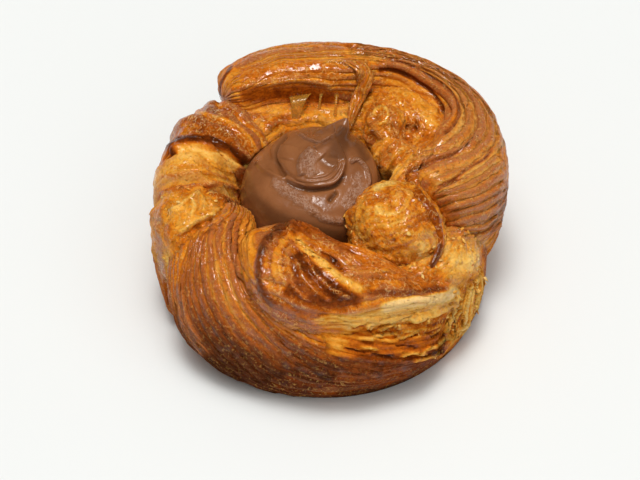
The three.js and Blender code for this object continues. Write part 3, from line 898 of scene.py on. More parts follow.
def fold_surface(fold, seed):
    """One fold's points with, for each, the values that CRUST_VALUES names."""
    around, along = fold["grid"]
    lap, run = np.meshgrid(np.arange(around) / around, np.linspace(0, 1, along + 1))
    points, centre, taper, depth = fold_form(fold, lap, run[:, 0])

    ribs, rings = fold.get("ribs", 0), fold.get("rings", 0)
    wander = sized_noise(points, BROAD_WANDER, seed) + sized_noise(points, SMALL_WANDER, seed + 1)
    layer = ribs * uneven(lap, seed) + rings * uneven(run, seed) + fold.get("wander", 1) * wander
    fade = np.clip(taper / RIB_FADE, 0, 1)[:, None] if ribs else 1
    crest, rib = ribs_of(layer, points, seed + 2)
    rib *= depth * fade
    sheets = sized_noise(points, BROAD_SHEETS, seed + 5, flakes)
    sheets += sized_noise(points, SMALL_SHEETS, seed + 13, flakes)
    wrinkles = WRINKLE_TOP - 2 * np.abs(layered_noise(points, WRINKLE_SIZE, seed + 10))
    grain = noise(points, GRAIN_SIZE, seed + 11) + sized_noise(points, FINE_GRAIN, seed + 12)
    relief = rib.copy()
    relief += fold.get("flake", PLAIN_FLAKE) * (sheets - 0.5)
    relief += fold.get("lumps", PLAIN_LUMPS) * layered_noise(points, LUMP_SIZE, seed + 6)
    relief += fold.get("wrinkle", 0) * wrinkles
    relief += fold.get("grain", PLAIN_GRAIN) * grain
    relief[[0, -1]] = relief[[0, -1]].mean(1, keepdims=True)

    browning = layer_shade(fold, crest, layer, seed + 7, LAYER_SHADE * (depth > 0))
    browning += fold["patch"] * (layered_noise(points, PATCH_SIZE, seed + 8) + (sheets - 0.5))
    # Darker towards the floor: partly browning, partly painted shade
    browning += fold.get("foot", 0) * foot_share(points)
    gloss = fold["wet"] + sized_noise(points, GLOSS_PATCH, seed + 9) - FOLD_DRYING * foot_share(points)
    distance = np.concatenate([[0], np.cumsum(np.linalg.norm(np.diff(centre, axis=0), axis=1))])[:, None]
    stripes = fold.get("stripes", 0) * fade
    scaly = min(fold.get("flake", 0), 1)
    values = np.broadcast_arrays(browning, gloss, layer, distance, stripes, scaly, rib)
    return points + grid_normals(points) * relief[..., None], np.stack(values, -1)


# Core of dough, and the cream's plain form

def lathe_grid(outline, columns, rows, centre_x):
    outline = np.asarray(outline, float)
    lengths = np.linalg.norm(np.diff(outline, axis=0), axis=1)
    marks = np.concatenate([[0], np.cumsum(lengths)]) / lengths.sum()
    share = np.linspace(0, 1, rows + 1)
    radius = np.interp(share, marks, outline[:, 0])[:, None]
    height = np.interp(share, marks, outline[:, 1])[:, None]
    angle = turns(columns)
    return np.stack([centre_x + radius * np.cos(angle), radius * np.sin(angle), height + 0 * angle], -1)


def dollop_grid(columns, rows, swell=0.0):
    """The cream's plain form. With swell it stands out by that much, to cut its well."""
    outline = np.array(CREAM_OUTLINE, float)
    outline[1:-1, 0] += swell
    outline[outline[:, 1] == WELL_FLOOR, 1] -= swell
    profile, _ = spline(outline, np.linspace(0, 1, rows + 1), loose_ends=False)
    radius, height = profile[:, :1], profile[:, 1:]
    lean = (np.maximum(height - LEAN_START, 0) / (CREAM_TOP - LEAN_START)) ** LEAN_POWER
    angle = turns(columns)
    foot, full, thin, tip = CARVE_HEIGHTS
    carve = CARVE_DEPTH * smoothstep(height, foot, full) * smoothstep(height, tip, thin)
    radius = radius * (1 - carve * np.maximum(np.cos(angle - math.radians(CARVE_ANGLE)), 0))
    return np.stack([
        CREAM_CENTRE[0] + radius * np.cos(angle) + TIP_LEAN[0] * lean,
        CREAM_CENTRE[1] + radius * np.sin(angle) + TIP_LEAN[1] * lean,
        height + 0 * angle,
    ], -1)


# Details that the photograph's camera sees

# A point counts as it faces the camera and as a ray from just above it gets there. Lines are ragged by some
# pixels, and they fade at their ends, by a share of their length. Combs fade towards their outer guides too,
# and carry finer strands low on the part.
FACING_SPAN = (0.02, 0.3)
RAY_LIFT = 0.3
PATH_STEPS = 8
RAGGED_SIZE = 3.5
RAGGED_SEEDS = (901, 902)
CRUST_RAGGED = 1.2
CREAM_RAGGED = 0.5
LINE_MARGIN = 3
LINE_ENDS = (-0.01, 0.08)
COMB_SEED = 61
COMB_ENDS = (0, 0.08)
COMB_EDGE = (0, 5)
COMB_WANDER = (14, 0.2)
COMB_WAVER = (5, 0.08)
FINE_HEIGHTS = (30, 14)
FINE_LEAST = 0.3


def pixels_of(points):
    """Where points show in the photograph's frame."""
    offset = points - EYE
    scale = VIEW_DISTANCE / MM / MM_PER_PIXEL / -(offset @ TO_CAMERA)
    across = IMAGE_WIDTH / 2 + offset @ CAMERA_RIGHT * scale
    return np.stack([across, IMAGE_HEIGHT / 2 - offset @ CAMERA_UP * scale], -1)


def seen(mesh, points, normals):
    """How well the photograph's camera sees each point, from 0 to 1."""
    to_eye = unit(EYE - points)
    facing = smoothstep(np.sum(normals * to_eye, -1), *FACING_SPAN)
    tree = mesh_tree(mesh)
    starts = points + RAY_LIFT * normals
    for place in np.flatnonzero(facing):
        if tree.ray_cast(starts[place], to_eye[place])[0] is not None:
            facing[place] = 0
    return facing


def within(pixels, sight, low, high):
    """The points that the camera sees inside a box of pixels."""
    return np.flatnonzero((sight > 0) & np.all((pixels > low) & (pixels < high), -1))


def blend(looks, name, near, value, weight):
    """Takes one of the near points' looks towards a value, by their weights."""
    looks[name][near] += (value - looks[name][near]) * weight


def line_distance(pixels, path):
    """Each pixel's distance from a smooth path, more than 0 to the right of it as it runs, and the
    share of the path at which that is."""
    path = np.array(path, float)
    corners, _ = spline(path, np.linspace(0, 1, PATH_STEPS * len(path)), loose_ends=True)
    start, step = corners[:-1], np.diff(corners, axis=0)
    offset = pixels[:, None] - start
    part = np.clip(np.sum(offset * step, -1) / np.sum(step * step, -1), 0, 1)
    gap = np.linalg.norm(offset - part[..., None] * step, axis=-1)
    nearest = gap.argmin(1)
    rows = np.arange(len(pixels))
    side = np.sign(step[nearest, 0] * offset[rows, nearest, 1] - step[nearest, 1] * offset[rows, nearest, 0])
    return gap[rows, nearest] * side, (nearest + part[rows, nearest]) / len(start)


def between_guides(fan, pixels):
    """Which pixels lie between a fan's outer guide lines and, for those, the layer, the share of the
    guide's length and the distance to the nearer outer guide."""
    measured = np.array([line_distance(pixels, guide) for guide in fan["guides"]])
    gaps, shares = measured.swapaxes(0, 1)
    passed = (gaps > 0).sum(0)
    inside = np.flatnonzero((passed > 0) & (passed < len(gaps)))
    gaps, shares, passed = gaps[:, inside], shares[:, inside], passed[inside]
    rows = np.arange(len(inside))
    before, after = np.abs(gaps[passed - 1, rows]), np.abs(gaps[passed, rows])
    numbers = np.array(fan["layers"], float)
    layer = numbers[passed - 1] + (numbers[passed] - numbers[passed - 1]) * (before / (before + after))
    return inside, layer, shares[passed, rows], np.minimum(np.abs(gaps[0]), np.abs(gaps[-1]))


def comb(mesh, combs, looks, rib):
    """Turns the ribs that the camera sees into layers that follow guide lines of pixels."""
    points, normals = mesh_points(mesh), mesh_normals(mesh)
    sight = seen(mesh, points, normals)
    pixels = pixels_of(points)
    moved = points.copy()
    for seed, fan in enumerate(combs, start=COMB_SEED):
        corners = np.vstack(fan["guides"])
        near = within(pixels, sight, corners.min(0), corners.max(0))
        inside, layer, share, margin = between_guides(fan, pixels[near])
        near = near[inside]
        spots = points[near]
        layer += sized_noise(spots, COMB_WANDER, seed) + sized_noise(spots, COMB_WAVER, seed + 20)
        fine = fan["fine"] * (FINE_LEAST + (1 - FINE_LEAST) * smoothstep(spots[:, 2], *FINE_HEIGHTS))
        crest, relief = ribs_of(layer, spots, seed, fine)
        weight = sight[near] * smoothstep(np.minimum(share, 1 - share), *COMB_ENDS)
        weight *= smoothstep(margin, *COMB_EDGE)
        moved[near] += normals[near] * (weight * (fan["depth"] * relief - rib[near]))[:, None]
        # Darker towards the floor by the fan's foot: partly browning, partly painted shade
        shade = layer_shade(fan, crest, layer, seed + 40) + fan.get("foot", 0) * foot_share(spots)
        blend(looks, "browning", near, shade, weight)
        blend(looks, "gloss", near, fan["gloss"] - COMB_DRYING * foot_share(spots), weight)
        blend(looks, "tan", near, fan.get("tan", 0), weight)
        taken = weight > 0.5
        looks["layer"][near] = np.where(taken, layer, looks["layer"][near])
        stripes = np.where(taken, fan["stripes"], looks["stripes"][near])
        looks["stripes"][near] = stripes * np.abs(2 * weight - 1)
    move_points(mesh, moved)


def trace(mesh, details, looks, ragged, rib=0.0):
    """Moves a mesh's points, and changes their looks, along lines of detail that the camera sees."""
    points, normals = mesh_points(mesh), mesh_normals(mesh)
    sight = seen(mesh, points, normals)
    shift = np.stack([noise(points, RAGGED_SIZE, seed) for seed in RAGGED_SEEDS], -1)
    pixels = pixels_of(points) + ragged * shift
    moved = points.copy()
    rib = rib + np.zeros(len(points))
    for detail in details:
        path, width = np.array(detail["pixels"]), detail["width"]
        margin = LINE_MARGIN * width
        near = within(pixels, sight, path.min(0) - margin, path.max(0) + margin)
        gap, share = line_distance(pixels[near], path)
        reach = sight[near] * smoothstep(np.minimum(share, 1 - share), *LINE_ENDS)
        paint = reach * np.exp(-(gap / width) ** 4)
        rise = detail["rise"] * reach * np.exp(-(gap / width) ** 2) - detail["flatten"] * paint * rib[near]
        moved[near] += normals[near] * rise[:, None]
        for name, value in detail["looks"].items():
            blend(looks, name, near, value, paint)
    move_points(mesh, moved)


# Pastry: what cuts it off at the floor and round the cream, and the looks of its core

SEEDS_A_FOLD = 100
FLOOR_CUT = [(0, -40), (200, -40), (200, 0), (0, 0)]
FLOOR_CUT_GRID = (24, 24)
WELL_GRID = (96, 80)
CORE_PATCH = (9, 0.12)
CORE_WANDER = (15, 0.8)
CORE_SEED = 951
CORE_STRIPES = 0.6
CORE_SCALY = 0.8


def core_values(points):
    """The core's values, as CRUST_VALUES names them."""
    browning = CORE_BROWNING + sized_noise(points, CORE_PATCH, CORE_SEED, layered_noise)
    layer = points[:, 2] / CORE_LAYER + sized_noise(points, CORE_WANDER, CORE_SEED + 1)
    return np.stack(np.broadcast_arrays(browning, 0, layer, 0, CORE_STRIPES, CORE_SCALY, 0), -1)


def nearest_places(points, sources):
    """For each point, the place of the nearest source."""
    tree = KDTree(len(sources))
    for place, source in enumerate(sources):
        tree.insert(source, place)
    tree.balance()
    return np.array([tree.find(point)[1] for point in points])


def make_pastry():
    """The crust, and the name of the fold that each of its points comes from."""
    shells, sources, values = [], [], []
    for seed, (name, fold) in enumerate(FOLDS.items(), start=1):
        points, numbers = fold_surface(fold, SEEDS_A_FOLD * seed)
        shells.append(shell_object(name, points))
        sources.append(shell_points(points))
        values.append(shell_points(numbers))
    core_grid = lathe_grid(CORE_OUTLINE, *CORE_GRID, CORE_CENTRE_X)
    core = shell_object("core", core_grid)
    sources.append(shell_points(core_grid))
    values.append(core_values(sources[-1]))
    floor_cutter = shell_object("below_floor", lathe_grid(FLOOR_CUT, *FLOOR_CUT_GRID, 0))
    well = shell_object("well", dollop_grid(*WELL_GRID, CREAM_GAP))
    mesh = fuse(core, shells, [floor_cutter, well])
    drop_scraps(mesh)

    nearest = nearest_places(mesh_points(mesh), np.vstack(sources))
    looks = dict(zip(CRUST_VALUES, np.vstack(values)[nearest].T))
    along, rib = looks.pop("along"), looks.pop("rib")
    looks["tan"] = 0 * rib
    comb(mesh, COMBS, looks, rib)
    trace(mesh, DETAILS, looks, CRUST_RAGGED, rib)
    add_values(mesh, along=along, **looks)
    mesh.shade_smooth()
    mesh.materials.clear()
    mesh.name = "pastry_crust"
    owner = np.repeat([*FOLDS, "core"], [len(source) for source in sources])[nearest]
    return link_object("pastry_crust", mesh), owner


# Loose flakes of crust on each fold, the outline of one, along its length and across it, and the spread of
# their tilt in degrees, sizes in millimetres and looks
FLAKE_COUNTS = {"inner_bulge": 24, "front_wall": 80, "right_ruffle": 40, "left_lower": 20}
FLAKE_OUTLINE = np.array([(0, -0.3), (0.35, -0.5), (0.8, -0.35), (1, 0.05), (0.75, 0.45), (0.3, 0.5)])
FLAKE_SEED = 77
FLAKE_TILT = (2, 20)
FLAKE_LENGTH = (0.8, 2.0)
FLAKE_WIDTH = (0.5, 1.3)
FLAKE_JITTER = (-0.14, 0.14)
FLAKE_CURL = (-0.05, 0.12)
FLAKE_HALF_THICKNESS = (0.06, 0.12)
FLAKE_SUNK = 0.12
FLAKE_BROWNING = (0.06, 0.36)
FLAKE_GLOSS = 0.3


def make_flakes(pastry, owner):
    """Thin torn flakes that stand on the crust, each with one end sunk in it."""
    draw = np.random.default_rng(FLAKE_SEED)
    points, normals = mesh_points(pastry.data), mesh_normals(pastry.data)
    homes = [draw.choice(np.flatnonzero(owner == name), count) for name, count in FLAKE_COUNTS.items()]
    spots = np.concatenate(homes)
    count, corners = len(spots), len(FLAKE_OUTLINE)
    up = normals[spots]
    along = unit(np.cross(up, draw.normal(size=(count, 3))))
    tilt = np.radians(draw.uniform(*FLAKE_TILT, (count, 1)))
    along, up = np.cos(tilt) * along + np.sin(tilt) * up, np.cos(tilt) * up - np.sin(tilt) * along
    across = np.cross(up, along)
    length = draw.uniform(*FLAKE_LENGTH, (count, 1))
    width = draw.uniform(*FLAKE_WIDTH, (count, 1))
    outline = FLAKE_OUTLINE + draw.uniform(*FLAKE_JITTER, (count, corners, 2))
    reach, side = (outline[..., 0] * length)[..., None], (outline[..., 1] * width)[..., None]
    curl = draw.uniform(*FLAKE_CURL, (count, 1, 1)) * reach ** 2
    root = points[spots] - FLAKE_SUNK * normals[spots]
    sheet = root[:, None] + along[:, None] * reach + across[:, None] * side
    half = draw.uniform(*FLAKE_HALF_THICKNESS, (count, 1, 1))
    top, bottom = sheet + up[:, None] * (curl + half), sheet + up[:, None] * (curl - half)
    faces = []
    for first in range(0, 2 * corners * count, 2 * corners):
        ring = [first + corner for corner in range(corners)]
        faces += [ring, [corner + corners for corner in ring[::-1]]]
        faces += [[a, a + corners, b + corners, b] for a, b in zip(ring, ring[1:] + ring[:1])]
    flake_points = np.concatenate([top, bottom], 1).reshape(-1, 3)
    thing = add_object("crust_flakes", flake_points, faces)
    blank = np.zeros(len(flake_points))
    browning = np.repeat(draw.uniform(*FLAKE_BROWNING, count), 2 * corners)
    add_values(thing.data, browning=browning, gloss=blank + FLAKE_GLOSS, layer=blank, along=blank,
               stripes=blank, scaly=blank, tan=blank)
    return thing


# Syrup: a film and threads that hang between the folds, and a drop, by the pixels of their ends. Their
# half widths run from the upper end to the lower one, the film's as shares of its upper edge.
FILM_CORNERS = ((288, 98), (315, 94))
FILM_FOOT = (296, 126)
FILM_HALF_WIDTHS = np.array([0.5, 0.36, 0.22, 0.12])
FILM_HALF_THICKNESS = 0.2
FILM_BOW = 3.5
THREADS = [((337, 94), (335, 119)), ((322, 93), (319, 112))]
THREAD_HALF_WIDTHS = (0.9, 0.4, 0.35, 0.7)
THREAD_HALF_THICKNESS = 0.3
THREAD_BOW = 1.0
DROP_SPOT = (247, 167)
DROP_HALF_WIDTHS = (1.8, 1.7, 1.0)
DROP_HALF_THICKNESS = 1.4
DROP_HEIGHT = 1.3
SUNK = 0.8
RIBBON_GRID = (20, 28)
RIBBON_BLUNT = 8


def surface_spot(tree, pixel):
    """The point of the crust that shows at a pixel, and its normal."""
    across = (pixel[0] - IMAGE_WIDTH / 2) * MM_PER_PIXEL
    up = (IMAGE_HEIGHT / 2 - pixel[1]) * MM_PER_PIXEL
    aim = np.array(VIEW_AIM) / MM + across * CAMERA_RIGHT + up * CAMERA_UP
    place, normal, _, _ = tree.ray_cast(Vector(EYE), Vector(unit(aim - EYE)))
    return np.array(place), np.array(normal)


def ribbon_grid(start, end, side, half_widths, half_thickness, bow=0.0):
    """A flat tube from start to end, bowed up between them, as wide along side as the half widths give."""
    columns, rows = RIBBON_GRID
    share = np.linspace(0, 1, rows + 1)[:, None]
    centre = start + (end - start) * share + np.array([0, 0, bow]) * np.sin(np.pi * share)
    taper = np.sqrt(np.maximum(1 - np.abs(2 * share - 1) ** RIBBON_BLUNT, 0))
    width = taper * np.interp(share, np.linspace(0, 1, len(half_widths)), half_widths)
    out = unit(np.cross(end - start, side))
    angle = turns(columns)
    across = np.cos(angle)[:, None] * side
    through = np.sin(angle)[:, None] * out * half_thickness
    return centre[:, None] + width[:, None] * across + taper[:, None] * through


def make_syrup(pastry):
    tree = mesh_tree(pastry.data)
    pixels = (*FILM_CORNERS, FILM_FOOT, *sum(THREADS, ()), DROP_SPOT)
    spot = {pixel: surface_spot(tree, pixel) for pixel in pixels}
    sunk = {pixel: place - SUNK * normal for pixel, (place, normal) in spot.items()}
    left, right = (sunk[pixel] for pixel in FILM_CORNERS)
    edge = np.linalg.norm(right - left)
    grids = [ribbon_grid((left + right) / 2, sunk[FILM_FOOT], unit(right - left),
                         FILM_HALF_WIDTHS * edge, FILM_HALF_THICKNESS, FILM_BOW)]
    for head, foot in THREADS:
        grids.append(ribbon_grid(sunk[head], sunk[foot], CAMERA_RIGHT, THREAD_HALF_WIDTHS,
                                 THREAD_HALF_THICKNESS, THREAD_BOW))
    place, normal = spot[DROP_SPOT]
    side = unit(np.cross(normal, CAMERA_UP))
    grids.append(ribbon_grid(place - normal, place + DROP_HEIGHT * normal, side, DROP_HALF_WIDTHS,
                             DROP_HALF_THICKNESS))
    return shell_object("syrup_webs", *grids)


# Cream: the coil's lip with the furrow outside it, and broad soft lumps
RIM_HEIGHT = 0.8
RIM_FALL = 5
RIM_EDGE = (-0.8, 0.9)
FURROW_DEPTH = 0.4
FURROW_PLACE = 0.9
FURROW_WIDTH = 1.3
SWIRL_LOWEST = 0.6 * CREAM_TOP
CREAM_LUMPS = (9, 0.25)
CREAM_SEED = 501


def swirl_relief(grid):
    """How far the cream stands out for its coil, whose lip winds in to the foot of the peak."""
    offset = grid[..., :2] - SWIRL_CENTRE
    radius = np.linalg.norm(offset, axis=-1)
    angle = np.degrees(np.arctan2(offset[..., 1], offset[..., 0])) % 360
    relief = 0 * radius
    for turn in (angle, angle + 360):
        inside = np.interp(turn, SWIRL_ANGLES, SWIRL_RADII) - radius
        depth = np.interp(turn, SWIRL_ANGLES, SWIRL_DEPTHS, left=0, right=0)
        rim = RIM_HEIGHT * np.exp(-np.maximum(inside, 0) / RIM_FALL) * smoothstep(inside, *RIM_EDGE)
        furrow = FURROW_DEPTH * np.exp(-((inside + FURROW_PLACE) / FURROW_WIDTH) ** 2)
        relief += depth * (rim - furrow)
    return np.where(grid[..., 2] > SWIRL_LOWEST, relief, 0)


def make_cream():
    grid = dollop_grid(*CREAM_GRID)
    relief = swirl_relief(grid)
    relief += sized_noise(grid, CREAM_LUMPS, CREAM_SEED, layered_noise)
    relief[[0, -1]] = relief[[0, -1]].mean(1, keepdims=True)
    cream = shell_object("cream_swirl", grid + grid_normals(grid) * relief[..., None])
    looks = {name: np.zeros(len(cream.data.vertices)) for name in ("grain", "dark")}
    trace(cream.data, CREAM_DETAILS, looks, CREAM_RAGGED)
    add_values(cream.data, **looks)
    return cream


# Materials

NOISE_MIDDLE = 0.5


class Shader:
    """A material's node tree, with short ways to add and join nodes."""

    def __init__(self, name):
        self.material = bpy.data.materials.new(name)
        self.material.use_nodes = True
        self.tree = self.material.node_tree
        self.surface = self.tree.nodes["Principled BSDF"]

    def node(self, kind, inputs=None, **settings):
        made = self.tree.nodes.new("ShaderNode" + kind)
        for key, value in settings.items():
            setattr(made, key, value)
        for key, value in (inputs or {}).items():
            self.put(made.inputs[key], value)
        return made

    def put(self, socket, value):
        if isinstance(value, bpy.types.NodeSocket):
            self.tree.links.new(value, socket)
        else:
            socket.default_value = value

    def set(self, **inputs):
        for key, value in inputs.items():
            self.put(self.surface.inputs[key.replace("_", " ")], value)

    def math(self, operation, first, second=0.0, clamp=False):
        return self.node("Math", {0: first, 1: second}, operation=operation, use_clamp=clamp).outputs[0]

    def times(self, first, second):
        return self.math("MULTIPLY", first, second)

    def plus(self, first, second, clamp=False):
        return self.math("ADD", first, second, clamp)

    def minus(self, first, second):
        return self.math("SUBTRACT", first, second)

    def total(self, start, parts):
        """The start with each part's value, times its amount, added on."""
        for value, amount in parts:
            start = self.plus(start, self.times(value, amount))
        return start

    def vector(self, operation, first, second):
        return self.node("VectorMath", {0: first, 1: second}, operation=operation)

    def value(self, name):
        return self.node("Attribute", attribute_name=name).outputs["Fac"]

    def noise(self, vector, scale, detail=3.0, roughness=0.55):
        inputs = {"Vector": vector, "Scale": scale, "Detail": detail, "Roughness": roughness}
        return self.node("TexNoise", inputs).outputs["Fac"]

    def ramp(self, factor, stops):
        made = self.node("ValToRGB", {"Fac": factor})
        ramp = made.color_ramp
        while len(ramp.elements) < len(stops):
            ramp.elements.new(0.5)
        for element, (place, colour) in zip(ramp.elements, stops):
            element.position = place
            element.color = colour
        return made.outputs["Color"]

    def span(self, value, low, high):
        """From 0 at low to 1 at high, with smooth ends."""
        inputs = {"Value": value, "From Min": low, "From Max": high}
        return self.node("MapRange", inputs, interpolation_type="SMOOTHSTEP").outputs["Result"]

    def tint(self, tone, mask, amount, colour):
        """The tone with a colour laid over it where the mask is, by an amount."""
        inputs = {0: self.times(mask, amount), 6: tone, 7: colour}
        return self.node("Mix", inputs, data_type="RGBA").outputs[2]

    def bump(self, height):
        """A normal from a height in metres."""
        return self.node("Bump", {"Height": height, "Distance": 1.0, "Strength": 1.0}).outputs["Normal"]

    def place(self):
        return self.node("TexCoord").outputs["Object"]


def colour(red, green, blue):
    """A colour given as it shows on screen, from 0 to 255, as the linear light that shaders use."""
    shares = [channel / 255 for channel in (red, green, blue)]
    linear = [s / 12.92 if s <= 0.04045 else ((s + 0.055) / 1.055) ** 2.4 for s in shares]
    return (*linear, 1.0)


# Crust: its colours by browning, its marks' colours with the share of each that is laid on, the scales of its
# patterns in cells a metre, the values between which a mark sets in, and heights of relief in metres. The
# groove tint is painted shade, the stripe colour is partly painted sheen, and the pale fleck and curl tints
# are painted glints, the flecks partly crumbs.
CRUST_STOPS = [
    (0.00, colour(250, 206, 136)),
    (0.15, colour(248, 196, 100)),
    (0.30, colour(242, 168, 62)),
    (0.42, colour(230, 142, 34)),
    (0.55, colour(208, 110, 16)),
    (0.68, colour(174, 84, 10)),
    (0.82, colour(130, 56, 4)),
    (1.00, colour(82, 32, 2)),
]
STRIPE_AND_SHEEN_COLOUR = colour(176, 110, 68)
STRIPE_SHARE = 0.7
STRIPE_FADE = 0.4
STRIPE_FADES_AT = (0.65, 1.0)
GROOVE_SHADE_TINT = (0.6, colour(150, 62, 0))
PIT_TINT = (0.12, colour(120, 48, 0))
FLECK_AND_GLINT_TINT = (0.45, colour(248, 190, 104))
CURL_GLINT_TINT = (0.42, colour(255, 208, 120))
STREAK_SHADE = 0.3
GRAIN_SHADE = 0.36
BLOTCH_SHADE = 0.3
WOBBLE_SHADE = 0.2
WOBBLE_SCALE = 420.0
GRAIN_SCALE = 1100.0
BLOTCH_SCALE = 260.0
BEND_SCALE = 300.0
FACET_SCALE = 520.0
BEAD_SCALE = 850.0
CURL_SCALE = 330.0
PIT_SCALE = 1150.0
FLECK_SCALE = 1200.0
FACET_LEAST = 0.2
FACET_SPREAD = 0.6
STREAKS_A_LAYER = 2.0
STREAKS_A_MM = 0.3
BEND_AMOUNT = 0.004
CREST_PLACE = 0.34
STRIPE_NARROWEST = 0.12
STRIPE_SPREAD = 0.16
STRIPE_SOFTNESS = 0.05
GROOVE_HALF = 0.14
LAYER_WOBBLE = 0.5
BEADS_SET_IN = (0.5, 0.6)
BEAD_EDGE = (0.5, 0.05)
CURLS_SET_IN = (0.42, 0.8)
CURL_EDGE = (0.03, 0.0)
PITS_SET_IN = (0.64, 0.72)
FLECKS_SET_IN = (0.55, 0.63)
WET_LEVEL = 0.54
WET_CONTRAST = 1.6
DRY_ROUGHNESS = 0.6
WET_SMOOTHING = 0.25
GRAIN_HEIGHT = 0.0004
STREAK_HEIGHT = 0.0003
GROOVE_HEIGHT = -0.0003
PIT_HEIGHT = -0.0004
FLECK_HEIGHT = 0.0002
GLAZE_FACETS = 0.35
WOBBLE_HEIGHT = 0.00018
BEAD_HEIGHT = 0.0002
CURL_HEIGHT = 0.0003
GLAZE_ROUGHNESS = 0.05
GLAZE_IOR = 1.8


def layer_marks(shader, wobble):
    """The tan stripe along each layer's crest, a tan that is partly painted sheen, and the dark groove
    between layers, whose tint is painted shade with the warm glow of light through the dough.
    """
    ribbed = shader.value("stripes")
    phase = shader.total(shader.value("layer"), [(shader.minus(wobble, NOISE_MIDDLE), LAYER_WOBBLE)])
    part = shader.math("FRACT", phase)
    number = shader.math("FLOOR", phase)
    chance = shader.node("TexWhiteNoise", {"W": number}, noise_dimensions="1D").outputs[0]
    from_crest = shader.math("ABSOLUTE", shader.minus(part, CREST_PLACE))
    half_stripe = shader.total(STRIPE_NARROWEST, [(chance, STRIPE_SPREAD)])
    stripe_and_sheen = shader.span(shader.minus(from_crest, half_stripe), STRIPE_SOFTNESS, -STRIPE_SOFTNESS)
    groove_and_shade = shader.span(shader.math("PINGPONG", phase, 0.5), GROOVE_HALF, 0.0)
    return shader.times(stripe_and_sheen, ribbed), shader.times(groove_and_shade, ribbed)


def layer_streaks(shader):
    """Fine streaks that run along the layers."""
    streak_place = shader.node("CombineXYZ", {
        "X": shader.times(shader.value("layer"), STREAKS_A_LAYER),
        "Y": shader.times(shader.value("along"), STREAKS_A_MM),
    }).outputs[0]
    return shader.noise(streak_place, scale=1.0, detail=4.0, roughness=0.6)


def scaly_facets(shader, bent):
    """Tilted flat cells, as heights in metres, steeper where the crust is flaky."""
    cells = shader.node("TexVoronoi", {"Vector": bent, "Scale": FACET_SCALE})
    from_middle = shader.vector("SUBTRACT", bent, cells.outputs["Position"]).outputs[0]
    tilt = shader.vector("SUBTRACT", cells.outputs["Color"], (0.5, 0.5, 0.5)).outputs[0]
    facets = shader.vector("DOT_PRODUCT", from_middle, tilt).outputs["Value"]
    return shader.times(facets, shader.total(FACET_LEAST, [(shader.value("scaly"), FACET_SPREAD)]))


def syrup_marks(shader, place, bent):
    """Beads of syrup, and thin curls of it on the wettest parts, whose pale colour is a painted glint."""
    drops = shader.node("TexVoronoi", {"Vector": place, "Scale": BEAD_SCALE})
    chosen = shader.span(drops.outputs["Color"], *BEADS_SET_IN)
    beads = shader.times(shader.span(drops.outputs["Distance"], *BEAD_EDGE), chosen)
    wet_parts = shader.span(shader.value("gloss"), *CURLS_SET_IN)
    swirl = shader.noise(bent, CURL_SCALE, detail=2.0)
    contour = shader.math("ABSOLUTE", shader.minus(swirl, NOISE_MIDDLE))
    return beads, shader.times(shader.span(contour, *CURL_EDGE), wet_parts)


